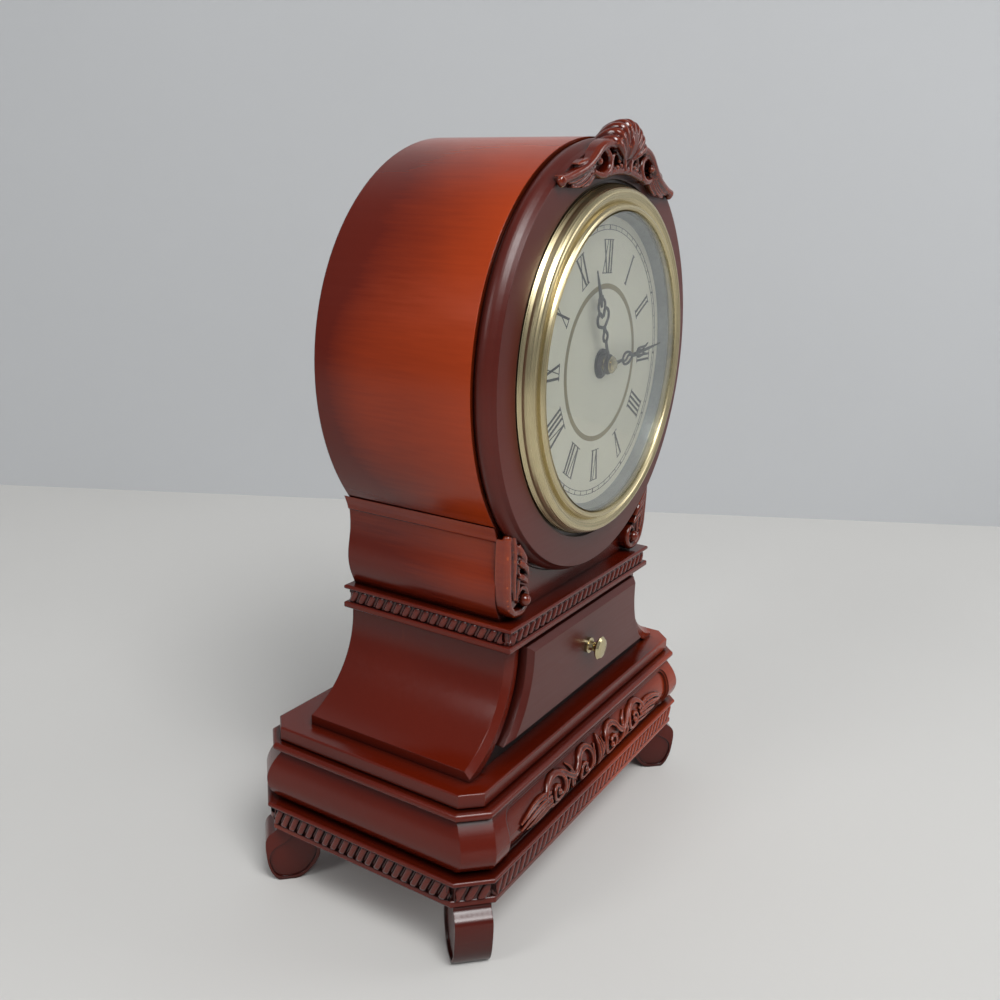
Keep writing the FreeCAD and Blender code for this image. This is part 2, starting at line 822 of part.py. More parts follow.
def drawer_knob():
    face_y = drawer_back - drawer_edge_thickness - drawer_bevel
    stem_y = face_y - knob_collar_thickness
    head_y = stem_y - knob_stem_length
    front_y = head_y - knob_head_thickness
    rows = [
        (0.0, face_y), (knob_collar_radius, face_y), (knob_collar_radius, stem_y), (knob_stem_radius, stem_y),
        (knob_stem_radius * 0.85, stem_y - knob_stem_length * 0.5), (knob_radius * 0.6, head_y),
        (knob_radius * 0.95, head_y - knob_head_thickness * 0.25), (knob_radius, head_y - knob_head_thickness * 0.5),
        (knob_radius * 0.82, head_y - knob_head_thickness * 0.85), (knob_radius * 0.45, front_y), (0.0, front_y),
    ]
    profile = polygon([Vector(radius, y, knob_z()) for radius, y in rows])
    body = profile.revolve(Vector(0, 0, knob_z()), Vector(0, 1, 0), 360)
    return body.cut(disc(knob_screw_radius + running_gap, head_y, face_y + cut_over, 0, knob_z()))


def drawer_knob_screw():
    inner = drawer_back + tray_wall
    tip = drawer_back - drawer_edge_thickness - drawer_bevel - knob_collar_thickness - knob_stem_length / 2
    shank = disc(knob_screw_radius, tip, inner, 0, knob_z())
    head = disc(knob_screw_head_radius, inner, inner + knob_screw_head_height, 0, knob_z())
    return shank.fuse(head)


# Collar

def collar_board():
    rope_z = collar_z + collar_low_lip_height
    high_z = rope_z + collar_rope_height
    low = centred_box(collar_half_width, collar_front, collar_back, collar_z, rope_z)
    low = low.makeFillet(collar_lip_round, edges_at_height(low, collar_z) + edges_at_height(low, rope_z))
    high = centred_box(collar_half_width, collar_front, collar_back, high_z, cradle_z)
    high = high.makeFillet(collar_lip_round, edges_at_height(high, high_z) + edges_at_height(high, cradle_z))
    inset = collar_rope_depth
    core = centred_box(collar_half_width - inset, collar_front + inset, collar_back - inset, rope_z, high_z)
    return joined([low, core, high])


def collar_rope():
    half_x = collar_half_width - collar_rope_depth
    front_y = collar_front + collar_rope_depth
    back_y = collar_back - collar_rope_depth
    z = collar_z + collar_low_lip_height
    depth = collar_rope_depth - collar_lip_round / 2
    front = rope_strip(2 * half_x, collar_rope_height, depth, 90, 90)
    right = rope_strip(back_y - front_y, collar_rope_height, depth, 90, 0)
    left = rope_strip(back_y - front_y, collar_rope_height, depth, 0, 90)
    return Part.makeCompound([
        placed_strip(front, -half_x, front_y, z, 0),
        placed_strip(right, half_x, front_y, z, 90),
        placed_strip(left, -half_x, back_y, z, 270),
    ])


# Cradle and its brackets

def cradle_wire_points(shares):
    return [Vector(cradle_half_width * u, 0, cradle_z + cradle_height * v) for u, v in shares]


def cradle_block():
    side = cradle_wire_points(cradle_profile_shares)
    band = cradle_wire_points(cradle_band_shares)
    left_side = [Vector(-point.x, 0, point.z) for point in side[::-1]]
    left_band = [Vector(-point.x, 0, point.z) for point in band[::-1]]
    right = Part.BSplineCurve()
    right.interpolate(side)
    left = Part.BSplineCurve()
    left.interpolate(left_side)
    straight = Part.makePolygon([side[-1]] + band + left_band + [left_side[0]])
    bottom = Part.makeLine(left_side[-1], side[0])
    profile = Part.Face(Part.Wire([right.toShape()] + straight.Edges + [left.toShape(), bottom]))
    profile.translate(Vector(0, drum_front, 0))
    block = profile.extrude(Vector(0, cradle_back - drum_front, 0))
    seat = disc(drum_radius + curved_seat, drum_front - cut_over, cradle_back + cut_over)
    return block.cut(seat)


def bracket(side):
    def place(u, v):
        return cradle_half_width - bracket_width * u, cradle_z + cradle_height * v

    edges = []
    for lobe in bracket_lobe_shares:
        points = [place(u, v) for u, v in lobe]
        edges.append(spline([Vector(x, drum_front, z) for x, z in points]).toShape())
    top_x, top_z = place(*bracket_lobe_shares[-1][-1])
    low_x, low_z = place(*bracket_lobe_shares[0][0])
    edge = [
        Vector(point.x, drum_front, point.z) for point in cradle_wire_points(cradle_profile_shares)
        if low_z < point.z < top_z
    ]
    outer = spline([Vector(low_x, drum_front, low_z)] + edge + [Vector(top_x, drum_front, top_z)])
    body = Part.Face(Part.Wire(edges + [outer.toShape()])).extrude(Vector(0, -bracket_thickness, 0))
    face_y = drum_front - bracket_thickness
    parts = [body]
    for vein in bracket_vein_shares:
        points = [place(u, v) for u, v in vein]
        halves = [bracket_vein * 0.5, bracket_vein, bracket_vein, bracket_vein * 0.3]
        parts.append(carved_band(points, halves, lambda z: face_y, 0, bracket_crown))
    eye_x, eye_z = place(*bracket_eye_shares)
    parts.append(boss(eye_x, eye_z, bracket_eye_radius, face_y, bracket_crown))
    carved = fused(parts).cut(ring_keep_out())
    return carved if side > 0 else mirrored(carved)


# Drum, front ring and dial

def drum_shell():
    shell = disc(drum_radius, drum_front, drum_back).cut(
        disc(drum_radius - drum_wall, drum_front - cut_over, drum_back + cut_over)
    )
    return shell.cut(disc(drum_radius - drum_wall + board_rebate, board_front, drum_back + cut_over))


def ring_rows():
    joint_y = ring_back - ring_joint_width
    edge_y = ring_front + ring_face_edge
    roll = []
    for index in range(9):
        share = index / 8
        y = joint_y + (edge_y - joint_y) * share
        start_radius = drum_radius - ring_roll
        end_radius = ring_face_radius + ring_face_edge / 2
        radius = start_radius + (end_radius - start_radius) * share + ring_roll * math.sin(math.pi * share)
        roll.append((radius, y))
    rows = [(ring_bore_radius, ring_back), (drum_radius - ring_joint_depth, ring_back)]
    rows.append((drum_radius - ring_joint_depth, joint_y))
    rows += roll
    rows += [
        (ring_face_radius, ring_front), (ring_recess_radius, ring_front), (ring_recess_radius, bezel_back),
        (dial_recess_radius, bezel_back), (dial_recess_radius, dial_back + dial_back_gap),
        (ring_bore_radius, dial_back + dial_back_gap),
    ]
    return rows


def front_ring():
    return turned(ring_rows())


def bezel():
    outer = ring_recess_radius - bezel_gap
    rows = [
        (bezel_wall_radius, bezel_back), (outer, bezel_back), (outer, bezel_back - bezel_outer_rise),
        (outer - bezel_edge_inset, bezel_back - bezel_edge_rise),
    ]
    crown_radius = outer - bezel_crown_inset
    for index in range(1, 7):
        angle = math.radians(90 * index / 6)
        radius = outer - bezel_edge_inset - (bezel_crown_inset - bezel_edge_inset) * (1 - math.cos(angle))
        rise = bezel_edge_rise + (bezel_crown_rise - bezel_edge_rise) * math.sin(angle)
        rows.append((radius, bezel_back - rise))
    rows += [
        ((crown_radius + bezel_crease_radius) / 2, bezel_back - (bezel_crown_rise * 2 + bezel_crease_rise) / 3),
        (bezel_crease_radius, bezel_back - bezel_crease_rise),
    ]
    bead_half = bezel_crease_radius - bezel_bead_radius
    for index in range(1, 6):
        angle = math.radians(180 * index / 6)
        radius = bezel_bead_radius + bead_half * math.cos(angle)
        rise = bezel_crease_rise + (bezel_bead_rise - bezel_crease_rise) * math.sin(angle)
        if radius > bezel_lip_radius:
            rows.append((radius, bezel_back - rise))
    lip_y = bezel_back - bezel_bead_rise + bezel_lip_thickness
    rows += [
        (bezel_lip_radius, lip_y - bezel_lip_thickness / 2), (bezel_lip_radius, lip_y),
        (bezel_wall_radius, lip_y),
    ]
    return turned(rows)


def dial_glass():
    front = bezel_back - bezel_bead_rise + bezel_lip_thickness
    return disc(bezel_wall_radius - glass_gap, front, front + glass_thickness)


def dial_reflector():
    outer = bezel_wall_radius - glass_gap
    return turned([
        (reflector_inner_radius, dial_front), (outer, dial_front), (outer, dial_front - reflector_height),
        (reflector_top_radius, dial_front - reflector_height),
    ])


def dial_plate():
    plate = disc(dial_radius, dial_front, dial_back)
    return plate.cut(disc(bush_radius + running_gap, dial_front - cut_over, dial_back + cut_over))


def dial_band():
    band = disc(dial_band_outer, dial_front - print_thickness, dial_front)
    return band.cut(disc(dial_band_inner, dial_front - cut_over, dial_front + cut_over))


def stroke(x_low, x_high, width):
    low = clock_z + numeral_inner_radius
    high = low + numeral_height
    half = width / 2
    face = polygon([
        Vector(x_low - half, dial_front, low), Vector(x_low + half, dial_front, low),
        Vector(x_high + half, dial_front, high), Vector(x_high - half, dial_front, high),
    ])
    return face.extrude(Vector(0, -print_thickness, 0))


def numeral(text):
    widths = {"I": numeral_i_width, "V": numeral_v_width, "X": numeral_x_width}
    total = sum(widths[letter] for letter in text)
    left = -total / 2
    low = clock_z + numeral_inner_radius
    high = low + numeral_height
    pieces = [
        span_box(left, -left, dial_front - print_thickness, dial_front, low, low + numeral_serif),
        span_box(left, -left, dial_front - print_thickness, dial_front, high - numeral_serif, high),
    ]
    for letter in text:
        width = widths[letter]
        middle = left + width / 2
        reach = (width - numeral_thick) / 2
        if letter == "I":
            pieces.append(stroke(middle, middle, numeral_thick))
        if letter == "V":
            pieces.append(stroke(middle, middle - reach, numeral_thick))
            pieces.append(stroke(middle, middle + reach, numeral_thin))
        if letter == "X":
            pieces.append(stroke(middle + reach, middle - reach, numeral_thick))
            pieces.append(stroke(middle - reach, middle + reach, numeral_thin))
        left += width
    return joined(pieces)


def dial_numerals():
    texts = ("I", "II", "III", "IIII", "V", "VI", "VII", "VIII", "IX", "X", "XI", "XII")
    return Part.makeCompound([hand_turned(numeral(text), 30 * (index + 1)) for index, text in enumerate(texts)])


# Movement and hands

def movement_case():
    half = movement_half_width
    case = centred_box(half, movement_front, movement_back, clock_z - half, clock_z + half)
    upright = [edge for edge in case.Edges if abs(edge.Vertexes[0].Y - edge.Vertexes[-1].Y) > movement_depth / 2]
    case = case.makeFillet(movement_round, upright)
    bore = disc(bush_radius, movement_front - cut_over, movement_front + bush_root)
    for z in cell_heights():
        reach = cell_length / 2 + cell_cap_length + cell_gap
        trough = Part.makeCylinder(
            cell_radius + cell_gap, 2 * reach, Vector(-reach, movement_back - cell_radius, z), Vector(1, 0, 0)
        )
        mouth = span_box(
            -reach, reach, movement_back - cell_radius, movement_back + cut_over, z - cell_radius - cell_gap,
            z + cell_radius + cell_gap
        )
        case = case.cut(trough).cut(mouth)
    knob_hole = disc(
        set_knob_stem_radius + running_gap, movement_back - set_knob_stem_length - slide_gap, movement_back + cut_over,
        set_knob_offset_x, clock_z + set_knob_offset_z
    )
    slot = span_box(
        switch_offset_x - switch_width / 2 - slide_gap, switch_offset_x + switch_width / 2 + switch_travel + slide_gap,
        movement_back - switch_stem - slide_gap, movement_back + cut_over,
        clock_z + switch_offset_z - switch_height / 2 - slide_gap,
        clock_z + switch_offset_z + switch_height / 2 + slide_gap
    )
    return case.cut(bore).cut(knob_hole).cut(slot)


def cell_heights():
    lower = clock_z - movement_half_width + cell_lift + cell_radius
    return lower, lower + 2 * (cell_radius + cell_gap) + cell_wall / 2


def battery_cells():
    cells = []
    for index, z in enumerate(cell_heights()):
        y = movement_back - cell_radius
        body = Part.makeCylinder(cell_radius, cell_length, Vector(-cell_length / 2, y, z), Vector(1, 0, 0))
        cap_start = cell_length / 2 if index else -cell_length / 2 - cell_cap_length
        cap = Part.makeCylinder(cell_cap_radius, cell_cap_length, Vector(cap_start, y, z), Vector(1, 0, 0))
        cells.append(body.fuse(cap))
    return Part.makeCompound(cells)


def centre_bush():
    front = dial_front - bush_front
    bush = disc(bush_radius, front, movement_front + bush_root)
    return bush.cut(disc(bush_bore_radius, front - cut_over, movement_front + bush_root - cut_over / 2))


def bush_washer():
    washer = disc(washer_radius, dial_front - washer_thickness, dial_front)
    return washer.cut(disc(bush_radius + running_gap, dial_front - washer_thickness - cut_over, dial_front + cut_over))


def bush_nut():
    y_back = dial_front - washer_thickness
    corner = nut_across_flats / math.sqrt(3)
    points = []
    for index in range(6):
        angle = math.radians(60 * index)
        points.append(Vector(corner * math.cos(angle), y_back, clock_z + corner * math.sin(angle)))
    nut = polygon(points).extrude(Vector(0, -nut_thickness, 0))
    return nut.cut(disc(bush_radius + running_gap, y_back - nut_thickness - cut_over, y_back + cut_over))


def hand_blade(length, width, shares, y_back):
    left = []
    right = []
    for along, across in shares:
        z = clock_z + length * along
        left.append(Vector(-width * across, y_back, z))
        right.append(Vector(width * across, y_back, z))
    blade = polygon(right + left[::-1]).extrude(Vector(0, -hand_thickness, 0))
    for sign in (-1, 1):
        eye = Part.Ellipse(Vector(0, 0, 0), length * hand_eye_length_share, width * hand_eye_width_share / 2)
        face = Part.Face(Part.Wire([eye.toShape()]))
        face.rotate(Vector(0, 0, 0), Vector(0, 1, 0), -90)
        face.rotate(Vector(0, 0, 0), Vector(0, 0, 1), 90)
        face.translate(Vector(sign * width * hand_eye_place_shares[1], y_back + cut_over,
                              clock_z + length * 0.42))
        blade = blade.cut(face.extrude(Vector(0, -hand_thickness - 2 * cut_over, 0)))
    return blade


hour_pipe_radius = bush_bore_radius - running_gap
hour_hand_y = dial_front - hour_hand_rise
minute_hand_y = dial_front - minute_hand_rise


def hour_hand():
    blade = hand_blade(hour_hand_length, hour_hand_width, hour_hand_shares, hour_hand_y)
    hub = disc(hour_hub_radius, hour_hand_y - hand_thickness, hour_hand_y)
    front = hour_hand_y - 2 * hand_thickness
    pipe = disc(hour_pipe_radius, front, movement_front + hour_pipe_root)
    bore = disc(minute_shaft_radius + running_gap, front - cut_over, movement_front + hour_pipe_root + cut_over)
    return hand_turned(joined([blade, hub, pipe]).cut(bore), hour_hand_angle)


def minute_hand():
    blade = hand_blade(minute_hand_length, minute_hand_width, minute_hand_shares, minute_hand_y)
    hub = disc(minute_hub_radius, minute_hand_y - hand_thickness, minute_hand_y)
    hole = disc(minute_shaft_radius, minute_hand_y - cut_over, minute_hand_y + cut_over)
    return hand_turned(joined([blade, hub]).cut(hole), minute_hand_angle)


def minute_shaft():
    return disc(minute_shaft_radius, minute_hand_y - 2 * hand_thickness, movement_front + hour_pipe_root
                + minute_shaft_root)


def hand_cap():
    back = minute_hand_y - hand_thickness
    front = back - hand_cap_height
    rows = [
        (0.0, front), (0.0, back - hand_thickness - running_gap), (minute_shaft_radius + running_gap, back
                                                                   - hand_thickness - running_gap),
        (minute_shaft_radius + running_gap, back), (hand_cap_radius, back),
        (hand_cap_radius, back - hand_cap_height / 2), (hand_cap_radius * 0.7, front),
    ]
    return turned(rows)


def set_knob():
    x = set_knob_offset_x
    z = clock_z + set_knob_offset_z
    low = movement_back + slide_gap
    stem = disc(set_knob_stem_radius, movement_back - set_knob_stem_length, low, x, z)
    points = []
    for index in range(2 * set_knob_ribs):
        angle = math.radians(180 * index / set_knob_ribs)
        radius = set_knob_radius - set_knob_rib * (index % 2)
        points.append(Vector(x + radius * math.cos(angle), low, z + radius * math.sin(angle)))
    return stem.fuse(polygon(points).extrude(Vector(0, set_knob_height, 0)))


def chime_switch():
    z = clock_z + switch_offset_z
    return span_box(
        switch_offset_x - switch_width / 2, switch_offset_x + switch_width / 2, movement_back - switch_stem,
        movement_back + switch_rise, z - switch_height / 2, z + switch_height / 2
    )


def speaker():
    z = clock_z + speaker_offset_z
    cone = Part.makeCone(
        speaker_magnet_radius, speaker_radius, speaker_depth, Vector(0, board_front - speaker_depth, z), Vector(0, 1, 0)
    )
    magnet = disc(
        speaker_magnet_radius, board_front - speaker_depth - speaker_magnet_depth, board_front - speaker_depth, 0, z
    )
    return cone.fuse(magnet)


# Back board and its door

def back_board():
    board = disc(drum_radius - drum_wall + board_rebate - curved_seat, board_front, board_back)
    half = board_opening_half
    opening = centred_box(half, board_front - cut_over, board_back + cut_over, clock_z - half, clock_z + half)
    return board.cut(opening)


def board_screws():
    radius = drum_radius - drum_wall - board_screw_radius
    heads = []
    for index in range(board_screw_count):
        angle = math.radians(360 * (index + 0.5) / board_screw_count)
        heads.append(disc(
            board_screw_radius, board_back, board_back + board_screw_height, radius * math.cos(angle),
            clock_z + radius * math.sin(angle)
        ))
    return Part.makeCompound(heads)


door_half = board_opening_half + door_overlap
hinge_x = -(door_half + hinge_side_gap + hinge_radius)
hinge_y = door_back + hinge_leaf_thickness / 4


def hinge_heights():
    return clock_z - hinge_spread, clock_z + hinge_spread


def door_panel():
    return centred_box(door_half, door_front, door_back, clock_z - door_half, clock_z + door_half)


def barrel(radius, z_low, length):
    return Part.makeCylinder(radius, length, Vector(hinge_x, hinge_y, z_low), Vector(0, 0, 1))


def hinge_fixed():
    leaves = []
    for z in hinge_heights():
        low = z - 1.5 * hinge_knuckle
        parts = []
        for start in (low, low + 2 * hinge_knuckle):
            parts.append(barrel(hinge_radius, start, hinge_knuckle))
            parts.append(span_box(
                hinge_x - hinge_leaf_width, hinge_x, board_back, hinge_y - hinge_pin_radius, start, start + hinge_knuckle
            ))
        parts.append(span_box(
            hinge_x - hinge_leaf_width, hinge_x - hinge_radius - slide_gap, board_back, board_back + hinge_leaf_thickness,
            low, low + 3 * hinge_knuckle
        ))
        leaf = joined(parts)
        leaves.append(leaf.cut(barrel(hinge_pin_radius + running_gap, low - cut_over, 3 * hinge_knuckle + 2 * cut_over)))
    return Part.makeCompound(leaves)


def hinge_moving():
    leaves = []
    for z in hinge_heights():
        low = z - hinge_knuckle / 2 + slide_gap
        length = hinge_knuckle - 2 * slide_gap
        knuckle = barrel(hinge_radius, low, length)
        leaf = span_box(
            hinge_x, hinge_x + hinge_radius + hinge_side_gap + hinge_leaf_width, door_back,
            door_back + hinge_leaf_thickness, low, low + length
        )
        bore = barrel(hinge_pin_radius + running_gap, low - cut_over, length + 2 * cut_over)
        leaves.append(joined([knuckle, leaf]).cut(bore))
    return Part.makeCompound(leaves)


def hinge_pins():
    pins = []
    for z in hinge_heights():
        low = z - 1.5 * hinge_knuckle
        pin = barrel(hinge_pin_radius, low, 3 * hinge_knuckle)
        head = barrel(hinge_radius, low + 3 * hinge_knuckle, hinge_pin_radius)
        pins.append(pin.fuse(head))
    return Part.makeCompound(pins)


def door_knob():
    x = door_half - door_knob_inset
    stem = disc(door_knob_stem_radius, door_back, door_back + door_knob_length / 2, x)
    middle = door_back + door_knob_length / 2
    head = Part.makeCone(
        door_knob_stem_radius, door_knob_radius, door_knob_length / 4, Vector(x, middle, clock_z), Vector(0, 1, 0)
    )
    rim = disc(door_knob_radius, middle + door_knob_length / 4, door_back + door_knob_length, x)
    return joined([stem, head, rim])


# Crest: a fluted fan between two pierced scrolls on the ring's front. Places are
# shares of the crest's half width and height, half widths shares of its height.

crest_scroll_shares = (
    (((0.043, 0.338), (0.062, 0.464), (0.129, 0.584), (0.233, 0.641), (0.353, 0.638), (0.457, 0.566),
      (0.543, 0.446), (0.647, 0.326), (0.776, 0.237), (0.879, 0.177), (0.966, 0.129)),
     (0.045, 0.045, 0.048, 0.054, 0.06, 0.063, 0.063, 0.057, 0.048, 0.045, 0.054)),
    (((0.49, 0.416), (0.479, 0.518), (0.405, 0.572), (0.328, 0.533), (0.283, 0.434), (0.303, 0.32),
      (0.369, 0.26), (0.448, 0.254), (0.517, 0.284)),
     (0.027, 0.039, 0.042, 0.045, 0.051, 0.054, 0.051, 0.042, 0.03)),
    (((0.117, 0.386), (0.116, 0.482), (0.159, 0.548), (0.21, 0.521), (0.229, 0.434), (0.21, 0.362)),
     (0.024, 0.03, 0.03, 0.033, 0.033, 0.03)),
    (((0.01, 0.344), (0.103, 0.338), (0.207, 0.314), (0.293, 0.284)),
     (0.051, 0.051, 0.051, 0.048)),
    (((0.503, 0.476), (0.578, 0.35), (0.672, 0.243), (0.784, 0.159), (0.879, 0.117)),
     (0.03, 0.045, 0.051, 0.045, 0.024)),
    (((0.486, 0.392), (0.552, 0.278), (0.638, 0.171), (0.733, 0.102), (0.819, 0.075)),
     (0.03, 0.045, 0.051, 0.042, 0.021)),
    (((0.466, 0.314), (0.517, 0.222), (0.586, 0.141), (0.664, 0.087)),
     (0.027, 0.042, 0.045, 0.021)),
    (((0.629, 0.392), (0.698, 0.362), (0.759, 0.338)),
     (0.042, 0.039, 0.015)),
)


def crest_place(u, v):
    return crest_half_width * u, clock_z + ring_recess_radius - crest_drop + crest_height * v


def crest_back(z):
    return ring_front


def crest_carving():
    bands = []
    for points, halves in crest_scroll_shares:
        places = [crest_place(u, v) for u, v in points]
        widths = [crest_height * half for half in halves]
        bands.append(carved_band(places, widths, crest_back, crest_plate, crest_crown))
    last = crest_scroll_shares[0][0][-1]
    end_x, end_z = crest_place(*last)
    bands.append(boss(end_x, end_z, crest_end_radius, ring_front, crest_plate + crest_crown))
    block_z = crest_place(0, crest_block_rise_share)[1]
    block = centred_box(
        crest_block_half_width, ring_front - crest_block_thickness, ring_front, block_z, block_z + crest_block_height
    )
    fan_z = crest_place(0, fan_root_rise_share)[1]
    petals = []
    for index in range(fan_petals):
        angle = fan_half_angle * (2 * index / (fan_petals - 1) - 1)
        petals.append(fan_petal(fan_z, angle))
    return fused(both_sides(bands) + [block, fan_body(fan_z)] + petals).cut(ring_keep_out())


def fan_petal(fan_z, angle):
    half_step = fan_half_angle / (fan_petals - 1)
    tip = fan_radius * math.sin(math.radians(half_step)) * fan_overlap_share
    reach = fan_radius - tip * fan_petal_shares[-1][1]
    sine = math.sin(math.radians(angle))
    cosine = math.cos(math.radians(angle))
    points = [(reach * out * sine, fan_z + reach * out * cosine) for out, half in fan_petal_shares]
    halves = [tip * half for out, half in fan_petal_shares]
    petal = carved_band(points, halves, crest_back, fan_thickness, fan_crown)
    lobe_front = ring_front - fan_thickness - fan_crown * fan_lobe_rise_share
    return petal.fuse(disc(halves[-1], lobe_front, ring_front, *points[-1]))


def fan_body(fan_z):
    start = math.radians(90 - fan_half_angle)
    sections = []
    for depth, size in fan_profile_shares:
        y = ring_front - fan_thickness + (fan_thickness + fan_back_depth) * depth
        radius = fan_radius * size
        rim = Vector(radius * math.cos(start), y, fan_z + radius * math.sin(start))
        crown = Vector(0, y, fan_z + radius)
        other = Vector(-rim.x, y, rim.z)
        root = Vector(fan_root, y, fan_z)
        other_root = Vector(-fan_root, y, fan_z)
        sections.append(Part.Wire([
            Part.Arc(rim, crown, other).toShape(), Part.makeLine(other, other_root),
            Part.makeLine(other_root, root), Part.makeLine(root, rim),
        ]))
    return Part.makeLoft(sections, True, True)


def ring_keep_out():
    grown = [(radius + curved_seat if radius > ring_face_radius else radius, y) for radius, y in ring_rows()]
    return turned(grown)


# Export

nodes = {
    "drum_shell": drum_shell,
    "front_ring": front_ring,
    "crest_carving": crest_carving,
    "back_board": back_board,
    "board_screws": board_screws,
    "door_panel": door_panel,
    "door_hinge_fixed": hinge_fixed,
    "door_hinge_moving": hinge_moving,
    "door_hinge_pins": hinge_pins,
    "door_knob": door_knob,
    "cradle_block": cradle_block,
    "bracket_left": lambda: bracket(-1),
    "bracket_right": lambda: bracket(1),
    "collar_board": collar_board,
    "collar_rope": collar_rope,
    "waist_side_left": lambda: mirrored(waist_side()),
    "waist_side_right": waist_side,
    "waist_face": waist_face,
    "waist_rear": lambda: waist_panel(waist_back - waist_rear_thickness, waist_rear_thickness),
    "drawer_runners": drawer_runners,
    "drawer_front": drawer_front,
    "drawer_tray": drawer_tray,
    "drawer_knob": drawer_knob,
    "drawer_knob_screw": drawer_knob_screw,
    "base_cap": base_cap,
    "base_box": base_box,
    "base_carving": base_carving,
    "lower_moulding": lower_moulding,
    "lower_rope": lower_rope,
    "foot_front_left": lambda: foot(-1, -1),
    "foot_front_right": lambda: foot(1, -1),
    "foot_rear_left": lambda: foot(-1, 1),
    "foot_rear_right": lambda: foot(1, 1),
    "bezel": bezel,
    "dial_glass": dial_glass,
    "dial_reflector": dial_reflector,
    "dial_plate": dial_plate,
    "dial_band": dial_band,
    "dial_numerals": dial_numerals,
    "movement_case": movement_case,
    "battery_cells": battery_cells,
    "centre_bush": centre_bush,
    "bush_washer": bush_washer,
    "bush_nut": bush_nut,
    "hour_hand": hour_hand,
    "minute_hand": minute_hand,
    "minute_shaft": minute_shaft,
    "hand_cap": hand_cap,
    "set_knob": set_knob,
    "chime_switch": chime_switch,
    "speaker": speaker,
}

os.makedirs("parts", exist_ok=True)
for name, build in nodes.items():
    shape = build()
    shape.exportStep(os.path.join("parts", name + ".step"))
    print(name, len(shape.Solids), shape.isValid(), round(shape.Volume))
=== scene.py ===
import math

import bpy
from mathutils import Matrix, Vector


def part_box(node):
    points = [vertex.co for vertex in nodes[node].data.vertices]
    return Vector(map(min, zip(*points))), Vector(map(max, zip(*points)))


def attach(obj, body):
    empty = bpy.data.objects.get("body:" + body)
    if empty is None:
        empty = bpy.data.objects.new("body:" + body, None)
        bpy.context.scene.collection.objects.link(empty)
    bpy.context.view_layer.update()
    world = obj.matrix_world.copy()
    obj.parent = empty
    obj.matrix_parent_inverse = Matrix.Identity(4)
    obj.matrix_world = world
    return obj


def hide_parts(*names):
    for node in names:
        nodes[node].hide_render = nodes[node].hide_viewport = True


bl_info = {
    "name": "Tambour mantel clock",
    "version": (1, 0, 0),
    "blender": (4, 5, 0),
    "location": "View3D > Sidebar > Clock",
    "description": "Carvings, rope mouldings, hands, finishes and stage for a drum mantel clock",
    "category": "Object",
}

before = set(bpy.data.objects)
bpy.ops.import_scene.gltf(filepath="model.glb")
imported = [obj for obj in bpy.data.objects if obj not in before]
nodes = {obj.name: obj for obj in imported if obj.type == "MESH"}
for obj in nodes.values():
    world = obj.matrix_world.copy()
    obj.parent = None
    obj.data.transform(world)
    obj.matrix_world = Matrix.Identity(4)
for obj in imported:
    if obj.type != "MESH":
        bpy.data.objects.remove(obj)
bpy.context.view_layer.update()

# Levels and planes of the clock, in millimetres, as the solids have them

MM = 0.001
AXIS_Z = 256.4
RING_FRONT = -53.6
CRADLE_FRONT = -43.6
DIAL_FRONT = -50.5

# Edges that turn by less than this many degrees are shaded smooth

SOFT_EDGE = 40

# Sizes of the wood finish and the reach of its painted shade, in millimetres, and the way along which painted
# light makes the drum's stain lighter

CLOUD_SIZE = 120
BROKEN_EDGE = 0.6
SHELTER_REACH = 24
PEEL_SIZE = 2.4
PEEL_HEIGHT = 0.05
PAINTED_LIGHT_WAY = (0, -1, 0.7)
PAINTED_LIGHT_START = 80
PAINTED_LIGHT_END = 240


def linear(code):
    """Turn an sRGB hex colour into linear values."""
    parts = [int(code[index:index + 2], 16) / 255 for index in (1, 3, 5)]
    values = [part / 12.92 if part <= 0.04045 else ((part + 0.055) / 1.055) ** 2.4 for part in parts]
    return tuple(values) + (1.0,)


def darker(shade, share):
    """The same linear colour with this share of its light."""
    return tuple(part * share for part in shade[:3]) + (1,)


def colour_setting(name, description, code):
    """A colour in the sidebar that starts as an sRGB hex colour."""
    return bpy.props.FloatVectorProperty(
        name=name, description=description, subtype="COLOR", size=4, min=0, max=1, default=linear(code))


